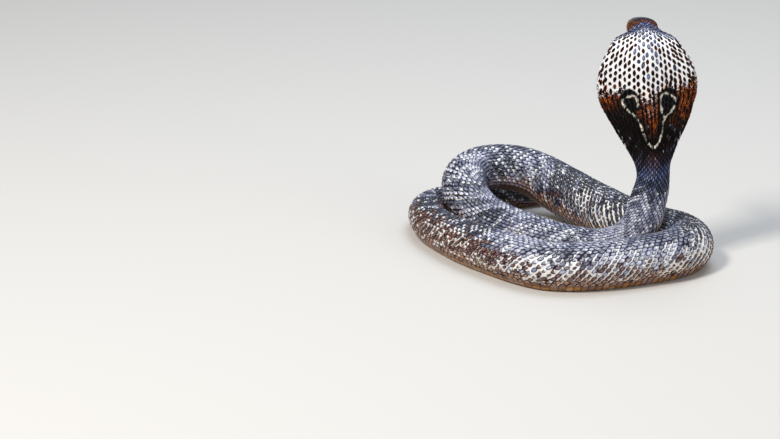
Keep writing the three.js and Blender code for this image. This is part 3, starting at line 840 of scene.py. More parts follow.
# Materials
class Recipe:
    # a material in the making, with short ways to add and join its nodes
    def __init__(self, name):
        self.material = bpy.data.materials.new(name)
        self.material.use_nodes = True
        self.nodes, self.links = self.material.node_tree.nodes, self.material.node_tree.links
        self.nodes.clear()
        output = self.nodes.new("ShaderNodeOutputMaterial")
        self.shader = self.nodes.new("ShaderNodeBsdfPrincipled")
        self.links.new(self.shader.outputs["BSDF"], output.inputs["Surface"])

    def feed(self, made, inputs):
        for key, value in inputs.items():
            if isinstance(value, bpy.types.NodeSocket):
                self.links.new(value, made.inputs[key])
            else:
                made.inputs[key].default_value = value

    def add(self, kind, inputs=None, **settings):
        made = self.nodes.new("ShaderNode" + kind)
        for key, value in settings.items():
            setattr(made, key, value)
        self.feed(made, inputs or {})
        return made

    def place(self):
        return self.add("TexCoord").outputs["Object"]

    def tints(self, name):
        made = self.add("VertexColor", layer_name=name)
        return made.outputs["Color"], made.outputs["Alpha"]

    def vector(self, operation, *values, output="Vector"):
        return self.add("VectorMath", dict(enumerate(values)), operation=operation).outputs[output]

    def number(self, operation, *values):
        return self.add("Math", dict(enumerate(values)), operation=operation).outputs[0]

    def mix(self, factor, first, second, blend="MIX"):
        inputs = {0: factor, 6: first, 7: second}
        return self.add("Mix", inputs, data_type="RGBA", blend_type=blend).outputs[2]

    def fit(self, value, low, high, toLow=0.0, toHigh=1.0, course="SMOOTHSTEP"):
        inputs = {"Value": value, "From Min": low, "From Max": high, "To Min": toLow, "To Max": toHigh}
        return self.add("MapRange", inputs, interpolation_type=course).outputs["Result"]

    def noise(self, vector, scale, detail=3.0, roughness=0.5):
        inputs = {"Vector": vector, "Scale": scale, "Detail": detail, "Roughness": roughness}
        return self.add("TexNoise", inputs).outputs["Fac"]

    def wander(self, vector, scale, low, high, detail=3.0, roughness=0.5):
        # noise stretched to run between two values
        return self.fit(self.noise(vector, scale, detail, roughness), 0.3, 0.7, low, high, "LINEAR")

    def finish(self, inputs, height=None, strength=0.0, distance=0.0):
        self.feed(self.shader, inputs)
        if height:
            bump = self.add("Bump", {"Height": height, "Strength": strength, "Distance": distance})
            self.links.new(bump.outputs["Normal"], self.shader.inputs["Normal"])
        return self.material


skinLook = {"roughness": 0.5, "specular": 0.2, "grain": 900.0, "grainDepth": 0.00006, "mottle": 260.0,
            "streakScale": 0.46}


def makeSkinMaterial():
    # light skin broken by dark gaps, drawn out along the slanting rows of scales
    made = Recipe("skinBetweenScales")
    coords = made.place()
    light, openness = made.tints("coatTint")
    gaps, _ = made.tints("gapTint")
    way = made.add("Attribute", attribute_name="coatWay").outputs["Vector"]
    spread = made.wander(way, skinLook["streakScale"], 0.0, 1.0, 4.0, 0.62)
    openness = made.number("ADD", spread, made.number("MULTIPLY_ADD", openness, 1.1, -0.55))
    colour = made.mix(made.fit(openness, 0.40, 0.60), gaps, light)
    mottle = made.wander(coords, skinLook["mottle"], 0.8, 1.08, 4.0)
    inputs = {"Vector": coords, "Scale": skinLook["grain"]}
    grain = made.add("TexVoronoi", inputs, feature="DISTANCE_TO_EDGE").outputs["Distance"]
    return made.finish({
        "Base Color": made.mix(1.0, colour, mottle, "MULTIPLY"),
        "Roughness": skinLook["roughness"],
        "Specular IOR Level": skinLook["specular"],
    }, grain, 0.5, skinLook["grainDepth"])


scaleLook = {"rim": (0.56, 0.85), "fleck": (0.10, 0.38), "ragged": 0.12, "striae": 3.0}


def makeScaleMaterial(name, roughness, specular):
    # each scale has its own map, 0 to 1 across and along it: dark rim, paler middle, a fleck at its root
    made = Recipe(name)
    coords = made.place()
    local = made.add("UVMap", uv_map="ScaleShape").outputs["UV"]
    core, fleck = made.tints("coatTint")
    rim, _ = made.tints("rimTint")
    centred = made.vector("MULTIPLY_ADD", local, (2, 2, 0), (-1, -1, 0))
    ragged = made.wander(coords, 1100.0, -scaleLook["ragged"], scaleLook["ragged"], 2.0)
    toEdge = made.number("ADD", made.vector("LENGTH", centred, output="Value"), ragged)
    colour = made.mix(made.fit(toEdge, *scaleLook["rim"]), core, rim)
    forward = made.add("SeparateXYZ", {0: centred}).outputs["Y"]
    toRoot = made.fit(made.number("SUBTRACT", ragged, forward), *scaleLook["fleck"])
    colour = made.mix(made.number("MULTIPLY", toRoot, fleck), colour, (*coatColours["whiteSkin"], 1))
    inputs = {"Vector": local, "Scale": scaleLook["striae"], "Distortion": 2.0}
    striae = made.add("TexWave", inputs, bands_direction="X").outputs["Fac"]
    return made.finish({
        "Base Color": made.mix(1.0, colour, made.wander(coords, 700.0, 0.72, 1.25), "MULTIPLY"),
        "Roughness": made.wander(coords, 420.0, roughness - 0.06, roughness + 0.1),
        "Specular IOR Level": specular,
    }, striae, 0.12, 0.0001)


def makeScuteMaterial():
    made = Recipe("bellyKeratin")
    mottle = made.noise(made.place(), 420.0, 4.0)
    tone = made.fit(mottle, 0.3, 0.7, 0.8, 1.1, "LINEAR")
    colour = made.mix(1.0, made.tints("coatTint")[0], tone, "MULTIPLY")
    return made.finish({"Base Color": colour, "Roughness": 0.32}, mottle, 0.3, 0.0001)


shieldLook = {"pits": 820.0, "pitTone": 0.55, "grain": 1900.0, "grainDepth": 0.00008, "specular": 0.35}


def makeShieldMaterial():
    made = Recipe("headShieldKeratin")
    coords = made.place()
    tone = made.wander(coords, 600.0, 0.66, 1.26, 5.0, 0.65)
    toned = made.mix(1.0, made.tints("coatTint")[0], tone, "MULTIPLY")
    pits = made.add("TexVoronoi", {"Vector": coords, "Scale": shieldLook["pits"]}, feature="F1")
    pit = made.fit(pits.outputs["Distance"], 0.10, 0.30)
    speck = made.fit(pit, 0.0, 1.0, shieldLook["pitTone"])
    grain = made.number("ADD", made.noise(coords, shieldLook["grain"]), pit)
    return made.finish({
        "Base Color": made.mix(1.0, toned, speck, "MULTIPLY"),
        "Roughness": made.wander(coords, 350.0, 0.26, 0.42),
        "Specular IOR Level": shieldLook["specular"],
    }, grain, 0.3, shieldLook["grainDepth"])


# The skin: one closed surface from snout to tail, a grid wrapped round the rings and welded.
skinDims = {
    "headEvery": 2,
    "hoodPace": 1.0,
    "bodyPace": 2.5,
    "ringEvery": 2,
    "lowest": 0.15,
    "hoodGrain": 1.3,
    "gapShare": 0.6,
}


def skinRows():
    keep = [0]
    for index, s in enumerate(rowPlaces[1:], 1):
        pace = skinDims["hoodPace"] if s < routeDims["hoodEnd"] else skinDims["bodyPace"]
        onHead = s < 0 and index % skinDims["headEvery"] == 0
        if onHead or (s >= 0 and s - rowPlaces[keep[-1]] >= pace - 1e-6):
            keep.append(index)
    return np.array(keep + [len(rowPlaces) - 1])


def makeSkin():
    keep = skinRows()
    backKept = np.arange(0, backCount, skinDims["ringEvery"])
    bellyKept = np.arange(backCount + 1, skinRing.shape[1], skinDims["ringEvery"])
    ring = skinRing[keep][:, np.concatenate([backKept, bellyKept, [0]])]
    ring[..., 2] = np.maximum(ring[..., 2], skinDims["lowest"])
    for end in (0, -1):
        ring[end] = ring[end].mean(axis=0)
    piece, column, row, loops = wrapGrid(ring)
    mesh = piece.data
    columns = ring.shape[1] - 1
    s = rowPlaces[keep][row]
    lastBack = len(backKept) - 1
    share = np.clip(column / lastBack * 2 - 1, -1, 1)
    across = np.clip((column - lastBack) / (columns - lastBack), 0, 1) * 2 - 1
    x = sideOf(s, share)
    light, gaps, openness = skinColours(s, share, x)
    belly = (column > lastBack) & (column < columns)
    light[belly] = bellyColours(s[belly], across[belly])
    gaps[belly] = light[belly] * skinDims["gapShare"]
    setColours(mesh, "coatTint", light, openness)
    setColours(mesh, "gapTint", gaps)
    way = np.stack([*slantWay(s, share), 3 * np.sign(share)], axis=-1)
    hoodWay = np.stack([s, x, 0 * s], axis=-1) * skinDims["hoodGrain"]
    way += (hoodWay - way) * (1 - over("pastGrain", s))[:, None]
    fill(mesh.attributes.new("coatWay", "FLOAT_VECTOR", "POINT").data, "vector", way)
    turn = np.where(column > lastBack, turnOfBelly(across), turnOfBack(share))
    faceS = s[loops.reshape(-1, 4)].mean(axis=1).repeat(4)
    setUvs(mesh, "OFBake", unwrapped(s[loops], turn[loops], faceS))
    weld(piece)
    finishPiece(piece, "cobraSkin", makeSkinMaterial())
    flesh = [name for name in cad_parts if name.startswith("body_")] + ["hood", "neck", "tail"]
    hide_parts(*flesh)
    print("skin:", len(mesh.polygons), "faces")


makeSkin()


# The scales of the back. One scale is modelled as by hand, then set out in rows that run from the nape to the
# tail, each along a line of one share of the back, with neighbouring rows half a scale apart.
scaleDims = {
    "seed": 64,
    "corners": 14,
    "shoulder": (0.84, 0.62),
    "crown": (0.48, 0.92),
    "from": -13,
    "step": 0.25,
    "height": 0.5,
    "sunk": 0.75,
    "rearLift": 0.3,
    "strayHood": 0.26,
    "rimSlim": 0.42,
    "looseWidth": 0.34,
    "looseLength": 0.30,
    "underWidth": 0.47,
    "floor": 0.02,
}
# by mm from the nape: rows of scales on half the back, mm between scales of a row, how pointed a scale is,
# its half width and half length as shares of its cell, its greatest half width on the hood, how far it leans,
# its height, how deep it is rooted, and how far the scales of the flanks lie apart
scaleCurves = {
    "rows": ([-20, 0, 60, 100, 130, 170, 215, 260, 900, 1180, 1300, 1406],
             [10.5, 12, 17, 17.5, 17, 15.2, 14.2, 13.7, 13.4, 11.5, 8, 3.6]),
    "pitch": ([-20, 0, 20, 66, 84, 135, 190, 260, 340, 1150, 1250, 1406],
              [3.2, 3.6, 5.8, 6.4, 5.2, 5.0, 4.8, 5.5, 5.9, 5.9, 4.4, 3.2]),
    "point": ([-20, 20, 66, 110, 200], [0.15, 0.26, 0.26, 0.34, 0.4]),
    "width": ([-20, 5, 14, 24, 64, 78, 92, 120, 150, 190, 215, 260, 340, 640, 1180],
              [0.62, 0.60, 0.56, 0.41, 0.40, 0.44, 0.50, 0.58, 0.62, 0.60, 0.54, 0.57, 0.60, 0.58, 0.62]),
    "length": ([-20, 5, 14, 24, 64, 78, 92, 120, 150, 190, 215, 260, 340, 640, 1180, 1406],
               [0.6, 0.6, 0.55, 0.43, 0.43, 0.5, 0.58, 0.64, 0.66, 0.64, 0.58, 0.62, 0.66, 0.62, 0.64, 0.62]),
    "slimmest": ([0, 20, 110, 150], [1.8, 1.68, 1.7, 3.2]),
    "lean": ([330, 420, 530, 556, 640, 700, 780, 1090, 1180],
             [0.1, 0.1, 0.16, 0.72, 0.72, 0.5, 0.42, 0.42, 0.1]),
    "height": ([-20, 20, 1180, 1406], [0.7, 1, 1, 0.5]),
    "root": ([-20, -10, 0], [0.2, 0.35, 0.55]),
    "loose": ([330, 640, 714, 770, 960, 1080, 1180], [0.4, 0.6, 0.6, 1, 1, 0.7, 0]),
    "looseArch": ([330, 420], [0, 1]),
}


def curve(name, s):
    return np.interp(s, *scaleCurves[name])


def modelScale():
    # a domed drop of a disc, with its rim at height 0, its crown at 1 and its root at -1
    clearSelection()
    count = scaleDims["corners"]
    bpy.ops.mesh.primitive_cylinder_add(vertices=count, radius=1, depth=1, location=(0, 0, -0.5))
    piece = bpy.context.object
    bpy.ops.object.transform_apply(location=True, rotation=False, scale=False)
    bpy.ops.object.mode_set(mode="EDIT")
    bpy.ops.mesh.select_mode(type="FACE")
    bpy.ops.mesh.select_all(action="DESELECT")
    bpy.ops.object.mode_set(mode="OBJECT")
    for face in piece.data.polygons:
        face.select = face.normal.z > 0.9
    bpy.ops.object.mode_set(mode="EDIT")
    reach, height = 1.0, 0.0
    for wide, high in (scaleDims["shoulder"], scaleDims["crown"]):
        bpy.ops.mesh.extrude_region_move(TRANSFORM_OT_translate={"value": (0, 0, high - height)})
        bpy.ops.transform.resize(value=(wide / reach, wide / reach, 1), center_override=(0, 0, high))
        reach, height = wide, high
    bpy.ops.mesh.poke(offset=1 - height)
    bpy.ops.object.mode_set(mode="OBJECT")
    return takeShape(piece)


def ringsUpTo(last):
    # places along the body, and how many rings of scales come before each
    s = np.arange(scaleDims["from"], last, scaleDims["step"])
    return s, np.cumsum(scaleDims["step"] / curve("pitch", s))


def scaleLattice(rng):
    s, rings = ringsUpTo(bodyEnd - 1.5)
    places, shares = [], []
    for number, ring in enumerate(np.arange(1, int(rings[-1] * 2)) / 2):
        at = np.interp(ring, rings, s)
        half = curve("rows", at)
        most = int(half * 0.985)
        row = np.arange(-most, most + 1)
        row = row[(row % 2) == (number % 2)]
        stray = rng.normal(0, scaleDims["strayHood"], (2, len(row))) * over("hoodStray", at)
        places.append(at + stray[0])
        shares.append((row + 0.3 * stray[1]) / half)
    return np.concatenate(places), np.concatenate(shares)


def skinStretch(s, share, ds, dShare):
    # mm of skin to one unit of distance or share
    level = np.zeros_like(s)
    after, before = (onSurface(backTables, s + k * ds, share + k * dShare, level) for k in (1, -1))
    return np.linalg.norm(after - before, axis=1) / (2 * (ds + dShare))


def scaleShapes(s, share, rng):
    # half width, half length, their reach in share and distance, height, turn and pointedness of each scale
    count, place = len(s), np.abs(share)
    across, stretch = skinStretch(s, share, 0, 0.01), skinStretch(s, share, 0.75, 0)
    cell = across / curve("rows", s)
    drawn = streaks(s, share, 7, 61)
    front = over("frontCoil", s)
    loose = ease(0.25 - 0.14 * front, 0.55 - 0.10 * front, place) * ease(0.36, 0.66, drawn)
    loose = loose * curve("looseArch", s) * curve("loose", s) * (1 - 0.5 * netBreaks(s, share))
    slant = over("archNet", s) * over("netShares", place)
    loose = np.maximum(loose * (1 - slant), slant * (0.25 + 0.75 * drawn))
    wild = 0.06 + 0.09 * over("hoodWild", s)
    spread = 1 + rng.normal(0, 1, (2, count)) * wild
    lowest = over("lowestRows", place) * (s > 200)
    onRim = bell(place - 0.69, 0.06) * over("hoodRim", s)
    beneath = over("underRimScales", place) * over("hoodBelow", s)
    width = curve("width", s) * cell * (1 - scaleDims["looseWidth"] * loose) * spread[0] * (1 + 0.1 * lowest)
    slim = curve("slimmest", s) * (1 - scaleDims["rimSlim"] * onRim)
    width = np.minimum(width, np.where(s < routeDims["hoodEnd"], slim, 9))
    width = width + (np.maximum(scaleDims["underWidth"] * cell, width) - width) * beneath
    length = curve("length", s) * curve("pitch", s) * (1 - scaleDims["looseLength"] * loose) * spread[1]
    length = length * (1 + 0.12 * beneath) * (1 + 0.16 * slant)
    height = scaleDims["height"] * curve("height", s) * rng.normal(1, 0.08, count)
    lean = curve("lean", s) * np.sign(share) * ease(0.05, 0.35, place) * (1 - 0.6 * ease(0.8, 1, place))
    turn = rng.normal(0, 1, count) * (wild + 0.08 * slant) + lean
    return width, length, width / across, length / np.clip(stretch, 0.35, 3), height, turn, curve("point", s)


def scalePoints(s, share, shapes, corners):
    # where the corners of each scale lie, with their distance from the nape and their share of the back
    width, length, shareReach, sReach, height, turn, pointed = (values[:, None] for values in shapes)
    a, b, h = (v[None] for v in corners.T)
    a = a * (1 - pointed * np.abs(b) ** 1.5)
    turned = a * np.cos(turn) + b * np.sin(turn) * length / np.maximum(width, 0.1)
    lengthwise = b * np.cos(turn) - a * np.sin(turn) * width / np.maximum(length, 0.1)
    lift = scaleDims["rearLift"] * np.maximum(b, -0.2) * (h > -0.2) * height / scaleDims["height"]
    rise = 0.12 - curve("root", s)[:, None] + np.where(h > 0, h * height, h * scaleDims["sunk"]) + lift
    atS = np.clip(s[:, None] + lengthwise * sReach, -20, bodyEnd - 0.05)
    atShare = np.clip(share[:, None] + turned * shareReach, -1, 1)
    points = onSurface(backTables, atS, atShare, rise)
    points[..., 2] = np.maximum(points[..., 2], scaleDims["floor"])
    return points, atS.ravel(), atShare.ravel()


def makeScales():
    corners, faces = modelScale()
    print("one scale:", len(corners), "points,", len(faces), "faces")
    rng = np.random.default_rng(scaleDims["seed"])
    s, share = scaleLattice(rng)
    points, atS, atShare = scalePoints(s, share, scaleShapes(s, share, rng), corners)
    x = sideOf(s, share)
    crownWithHighlight, core, rim, fleck = scaleColours(s, share, x, rng)
    count, sizes = len(corners), np.hypot(corners[:, 0], corners[:, 1])
    cores, rims = np.repeat(core[:, None], count, axis=1), np.repeat(rim[:, None], count, axis=1)
    # the point at each scale's crown takes the colour with its painted highlight
    cores[:, sizes < 0.2] = crownWithHighlight[:, None]
    # in the orange zone of the hood only the sides of a scale are bright, its ends are black
    onHood, _, orange, _, under = hoodParts(x, s, share)
    rims[:, np.abs(corners[:, 0]) < 0.72 * sizes] *= 1 - 0.9 * (onHood * orange * (1 - under))[:, None, None]
    cores, rims = cores.reshape(-1, 3), rims.reshape(-1, 3)
    keeps = np.repeat(np.where(rng.random(len(s)) < 0.78, rng.uniform(0.75, 1, len(s)), 0.12), count)
    marked = (atS > 60) & (atS < 138) & (np.abs(atShare) < 0.72)
    white, black = markOn(sideOf(atS[marked], atShare[marked]), atS[marked])
    for tints, pale in ((cores, 1.0), (rims, 0.55)):
        whiteness = white * pale * keeps[marked]
        tints[marked] = layered(tints[marked], ("blackScale", black), (tint("creamSkin", 1.1), whiteness))

    faceLoops = np.concatenate(faces)
    local = (0.5 + 0.5 * corners[:, :2])[faceLoops]
    hoodKeratin = makeScaleMaterial("hoodKeratin", 0.48, 0.05)
    neckKeratin = makeScaleMaterial("neckKeratin", 0.36, 0.2)
    bodyKeratin = makeScaleMaterial("bodyKeratin", 0.32, 0.38)
    regions = [
        ("hoodScales", -50, routeDims["hoodEnd"], "hood_skin", hoodKeratin),
        ("neckScales", routeDims["hoodEnd"], 330, "neck_skin", neckKeratin),
        ("archScales", 330, 640, "body_skin", bodyKeratin),
        ("turnScales", 640, 900, "body_skin", bodyKeratin),
        ("coilScales", 900, 1150, "body_skin", bodyKeratin),
        ("tailScales", 1150, 2000, "body_skin", bodyKeratin),
    ]
    for name, first, last, slot, material in regions:
        picked = np.flatnonzero((s >= first) & (s < last))
        ofPicked = (picked[:, None] * count + np.arange(count)).ravel()
        piece, _ = pieceOfCopies(name, points[picked], faces)
        setColours(piece.data, "coatTint", cores[ofPicked], np.repeat(fleck[picked], count))
        setColours(piece.data, "rimTint", rims[ofPicked])
        setUvs(piece.data, "ScaleShape", np.tile(local, (len(picked), 1)))
        root = unwrapped(s[picked], turnOfBack(share[picked]), s[picked])
        setUvs(piece.data, "OFBake", inMap(root[:, None] + (local - 0.5) * unwrapDims["tuft"]))
        finishPiece(piece, name, material, 60)
        print(name, len(picked), "scales")


makeScales()


# Belly scutes: one wide plate for each ring of scales, its free edge over the next, and two halves under the
# tail. A half has its middle, its reach and how far it comes after the other.
scuteDims = {
    "seed": 29,
    "grid": (20, 4),
    "vent": 1180,
    "halves": [(-0.5, 0.49, 0), (0.5, 0.49, 0.5)],
    "bow": 0.10,
    "overlap": 1.14,
    "thick": 0.7,
    "lowEdge": -0.34,
    "rise": 0.42,
    "sideDrop": 0.3,
    "seam": 0.86,
}


def modelScute():
    across, along = scuteDims["grid"]
    clearSelection()
    bpy.ops.mesh.primitive_grid_add(x_subdivisions=across, y_subdivisions=along, size=2)
    piece = bpy.context.object
    bpy.ops.object.mode_set(mode="EDIT")
    bpy.ops.mesh.select_all(action="SELECT")
    bpy.ops.mesh.extrude_region_move(TRANSFORM_OT_translate={"value": (0, 0, -1)})
    bpy.ops.mesh.normals_make_consistent(inside=False)
    bpy.ops.object.mode_set(mode="OBJECT")
    return takeShape(piece)


def makeScutes():
    corners, faces = modelScute()
    a, b, h = corners.T
    places, rings = ringsUpTo(bodyEnd - 2)
    edge = np.where(np.abs(a) > 0.93, -scuteDims["sideDrop"], 0)
    profile = scuteDims["lowEdge"] + scuteDims["rise"] * (b + 1) / 2 + edge
    height = np.where(h < -0.5, -scuteDims["thick"], profile)
    plates = []
    for s in np.interp(np.arange(1, int(rings[-1])), rings, places):
        pitch = curve("pitch", s)
        for middle, reach, late in [(0.0, 1.0, 0)] if s < scuteDims["vent"] else scuteDims["halves"]:
            bowed = scuteDims["bow"] * (1 - a**2)
            atS = s + pitch * (late + b / 2 * scuteDims["overlap"] + bowed)
            across = middle + a * reach
            points = onSurface(bellyTables, np.minimum(atS, bodyEnd - 0.05), across, height)
            plates.append((points, np.full(len(a), s), across))
    points, s, across = (np.stack(values) for values in zip(*plates))
    points[..., 2] = np.maximum(points[..., 2], 0.0)
    piece, loops = pieceOfCopies("bellyScutes", points, faces)
    tone = np.random.default_rng(scuteDims["seed"]).normal(1, 0.06, (len(plates), 1, 1))
    # painted shade: the free end of each scute made nearly black, where it overlaps the next
    seamShade = (1 - scuteDims["seam"] * (b > 0.9))[:, None]
    colours = bellyColours(s.ravel(), across.ravel()).reshape(points.shape) * tone * seamShade
    setColours(piece.data, "coatTint", np.clip(colours, 0.004, 0.95).reshape(-1, 3))
    coords = unwrapped(s, turnOfBelly(across), s) + np.stack([b, b], axis=-1) * unwrapDims["tuft"] / 2
    setUvs(piece.data, "OFBake", inMap(coords.reshape(-1, 2)[loops]))
    finishPiece(piece, "bellyScutes", makeScuteMaterial(), 40)
    print("scutes:", len(plates))


makeScutes()


# The head's shields: a fine shell over the head, sunk along the lines between shields. The lines of the crown
# and the chin are drawn from above, forward and left, those of the sides in the side view, forward and up. A
# ridge has its distance from the line or place it goes round, its width and its rise.
shieldDims = {
    "columns": 300,
    "rowStep": 0.3,
    "rear": (9.0, 11.2),
    "rearDrop": 0.8,
    "rise": 0.42,
    "sunk": 0.12,
    "grooveWidth": 0.42,
    "crown": [
        [(41, 0), (31.2, 0)],
        [(41.2, 2.4), (40.2, 3.4), (39.6, 4.8), (36.9, 5.4), (35, 7.2), (31.2, 7.2)],
        [(37, 0), (36.9, 5.4)],
        [(31.2, 0), (31.2, 7.2), (28, 8.8), (24, 8.9), (23.6, 5.8), (26.6, 3.6)],
        [(31.2, 3.3), (26.6, 3.6), (22.4, 0), (11.2, 0)],
        [(23.6, 5.8), (23, 8.6), (15, 8.4), (11.5, 4.6), (11.2, 0)],
    ],
    "chin": [
        [(40, 0), (23, 0)],
        [(37.5, 0), (36.5, 3.6), (38.5, 5.2)],
        [(30.5, 0), (30.5, 4.2)],
        [(36.5, 3.6), (30.5, 4.2), (23, 3.6), (23, 0)],
    ],
    "cheek": [
        [(10.5, 0.6), (16.4, 0), (21.8, 0.2), (25.2, 0), (31.2, 0.1), (36.3, -0.1), (40.8, -0.2)],
        [(36.3, -0.1), (36.3, 4.6)],
        [(38.8, -0.2), (38.8, 3.6)],
        [(31.4, 0), (31.4, 5.6)],
        [(25.2, 0), (25.4, 5.9)],
        [(21.8, 0.2), (22.4, 6.6)],
        [(16.4, 0), (16.2, 6.2)],
        [(11.4, 0.5), (12.4, 6)],
        [(22.4, 3.2), (16.4, 3.1), (12, 3.4)],
        [(31.4, 3.1), (36.3, 2.4)],
    ],
    "upperLip": [11.5, 17, 21.8, 26, 30, 33.8, 37.2, 40.4],
    "lowerLip": [14, 18.5, 22.5, 26, 29.5, 33, 36.2, 39],
    "lipDrop": 2.7,
    "mouth": [(9, -1.4), (13, -3), (19, -4), (26, -3.9), (34, -3.3), (39, -3), (42.6, -2.8)],
    "mouthFrom": 9.5,
    "mouthWidth": 0.55,
    "mouthDepth": 0.75,
    "lipBulge": (1.1, 0.7, 0.28),
    "eye": (28, 9.7, 3.1),
    "eyeRadius": 2.3,
    "socket": 1.7,
    "brow": (3.0, 0.55, 0.32),
    "nostril": (38.8, 7.0, 0.9),
    "nostrilSize": (0.45, 1.0),
    "nostrilDepth": 1.5,
    "nostrilRim": (1.25, 0.35, 0.16),
}


def surfaceFromAbove(x, y, sign):
    # on the crown (sign 1) or the chin (sign -1), at a place seen from above
    halfWidth, top, bottom, widest, square = headAt(x)
    reach = (top - widest) if sign > 0 else (bottom - widest)
    return widest + reach * np.clip(1 - np.abs(y / halfWidth) ** square, 0, 1) ** (1 / square)


def surfaceFromSide(x, z):
    halfWidth, top, bottom, widest, square = headAt(x)
    reach = np.where(z > widest, top - widest, widest - bottom)
    return halfWidth * np.clip(1 - np.abs((z - widest) / reach) ** square, 0, 1) ** (1 / square)


def headAt(x):
    forward, *columns = headRows[::-1].T
    return [np.interp(x, forward, column) for column in columns]


def samplesAlong(line, step=0.12):
    line = np.array(line, float)
    pieces = [line[:1]]
    for a, b in zip(line, line[1:]):
        count = max(1, int(np.hypot(*(b - a)) / step))
        pieces.append(a + (b - a) * (np.arange(1, count + 1) / count)[:, None])
    return np.concatenate(pieces).T


def lipHeight(x):
    return np.interp(x, *np.array(shieldDims["mouth"]).T)


def shieldLines():
    # places along the grooves between shields and along the mouth, on the left half of the head
    drop = shieldDims["lipDrop"]
    grooves = []
    for lines, sign in ((shieldDims["crown"], 1), (shieldDims["chin"], -1)):
        for x, y in map(samplesAlong, lines):
            grooves.append(np.stack([x, y, surfaceFromAbove(x, y, sign)], axis=-1))
    sideLines = list(shieldDims["cheek"])
    sideLines += [[(x, lipHeight(x)), (x + 0.4, -0.1)] for x in shieldDims["upperLip"]]
    sideLines += [[(x, lipHeight(x)), (x - 0.5, lipHeight(x) - drop)] for x in shieldDims["lowerLip"]]
    sideLines += [[(x, lipHeight(x) - drop) for x in np.linspace(13, 38.5, 9)]]
    for x, z in map(samplesAlong, sideLines):
        grooves.append(np.stack([x, surfaceFromSide(x, z), z], axis=-1))
    x, z = samplesAlong(shieldDims["mouth"])
    mouth = np.stack([x, surfaceFromSide(np.minimum(x, 42.2), z), z], axis=-1)
    return np.concatenate(grooves), mouth


def headFrame():
    return middles[napeRow], np.stack([-alongs[napeRow], sides[napeRow], backs[napeRow]])


def ridgeAt(distance, name):
    middle, width, rise = shieldDims[name]
    return rise * bell(distance - middle, width)


def headShell():
    # rows of points round the head, forward, left and up, and the directions outwards
    rows = headRows[::-1]
    rows = rows[rows[:, 0] >= shieldDims["rear"][0]]
    spacing = np.concatenate([[0], np.cumsum(np.hypot(np.diff(rows[:, 0]), np.diff(rows[:, 1])))])
    wanted = np.linspace(0, spacing[-1], int(spacing[-1] / shieldDims["rowStep"]) + 1)
    rows = np.stack([np.interp(wanted, spacing, column) for column in rows.T], axis=-1)
    columns = shieldDims["columns"]
    y, z = headSection(rows, np.linspace(0, 2, columns // 2 + 1))
    y = np.concatenate([y, -y[:, -2:0:-1]], axis=1)
    z = np.concatenate([z, z[:, -2:0:-1]], axis=1)
    shell = np.stack([np.repeat(rows[:, :1], columns, axis=1), y, z], axis=-1)
    normals = outwardOf(shell)
    if np.mean(np.sum(normals[5] * (shell[5] - shell[5].mean(axis=0)), axis=1)) < 0:
        normals = -normals
    normals[-1] = (1, 0, 0)
    return shell, normals


def makeHeadShields():
    shell, normals = headShell()
    folded = shell.reshape(-1, 3).copy()
    folded[:, 1] = np.abs(folded[:, 1])
    x, side, up = folded.T
    toGroove, toMouth = (nearestTo(folded, samples) for samples in shieldLines())
    eyeX, _, eyeZ = shieldDims["eye"]
    toEye = np.hypot(x - eyeX, up - eyeZ) + 10 * (side < 6)
    nostrilX, _, nostrilZ = shieldDims["nostril"]
    toNostril = np.hypot(x - nostrilX, (up - nostrilZ) * 1.15) + 10 * (side < 3)
    rise = shieldDims["rise"] * (1 - bell(toGroove, shieldDims["grooveWidth"])) - shieldDims["sunk"]
    cut = shieldDims["mouthDepth"] * bell(toMouth, shieldDims["mouthWidth"]) * (x > shieldDims["mouthFrom"])
    socket = shieldDims["socket"] * (1 - ease(0.86, 1.12, toEye / shieldDims["eyeRadius"]))
    pit = shieldDims["nostrilDepth"] * (1 - ease(*shieldDims["nostrilSize"], toNostril))
    rear = ease(*shieldDims["rear"], x)
    offset = (rise + ridgeAt(toMouth, "lipBulge") - cut) * rear - shieldDims["rearDrop"] * (1 - rear)
    offset = offset + ridgeAt(toEye, "brow") + ridgeAt(toNostril, "nostrilRim") - socket - pit
    place, rotation = headFrame()
    ring = place + (shell + normals * offset.reshape(shell.shape[:2])[..., None]) @ rotation
    ring = np.concatenate([ring, ring[:, :1]], axis=1)
    ring[-1] = ring[-1].mean(axis=0)
    piece, column, row, loops = wrapGrid(ring)

    source = row * shieldDims["columns"] + column % shieldDims["columns"]
    x, side, up, toGroove, toMouth, toEye, toNostril = (
        values[source] for values in (x, side, up, toGroove, toMouth, toEye, toNostril))
    mottle = patches(x, side + up, 2.2, 77)
    rearRust = 1 - ease(14, 26, x + 7 * (patches(x, side + up, 3, 73) - 0.5))
    # painted sheen: slate-blue over the head's brown, most on its top
    onCrown = ease(4.5, 8, up + 2 * (mottle - 0.5))
    # painted shade: black in the nostrils, round the eyes and along the mouth's groove
    dark = np.maximum(1 - ease(0.5, 1.15, toNostril), 1 - ease(2.0, 2.7, toEye))
    dark = np.maximum(dark, bell(toMouth, 0.42) * (x > 10))
    colours = layered(
        "headBrown",
        ("crownSheenSlate", 0.7 * onCrown + 0.25 * patches(x, side, 6, 71)),
        ("cheekRust", 0.7 * rearRust * (1 - 0.8 * onCrown) * (0.7 + 0.5 * mottle)),
    )
    # painted shade: each shield darker towards the grooves round it and darker still in them
    colours = layered(
        colours * (0.78 + 0.4 * ease(0.2, 2.2, toGroove))[:, None],
        ("lipCream", 0.8 * (1 - ease(-2.2, 0.6, up + 0.9 * (mottle - 0.5)))),
        ("bellyCream", 1 - ease(-7.2, -4.6, up)),
        ("blackScale", 0.55 * bell(toGroove, 0.3)),
        ("blackScale", 0.93 * dark),
    )
    setColours(piece.data, "coatTint", np.clip(colours, 0.004, 0.95))
    coords = np.stack([row / row.max(), column / column.max()], axis=-1)[loops]
    setUvs(piece.data, "OFBake", 0.01 + 0.98 * coords)
    weld(piece)
    finishPiece(piece, "headShields", makeShieldMaterial())
    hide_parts("head", "lower_jaw")
    print("head shields:", len(piece.data.vertices), "points")


makeHeadShields()


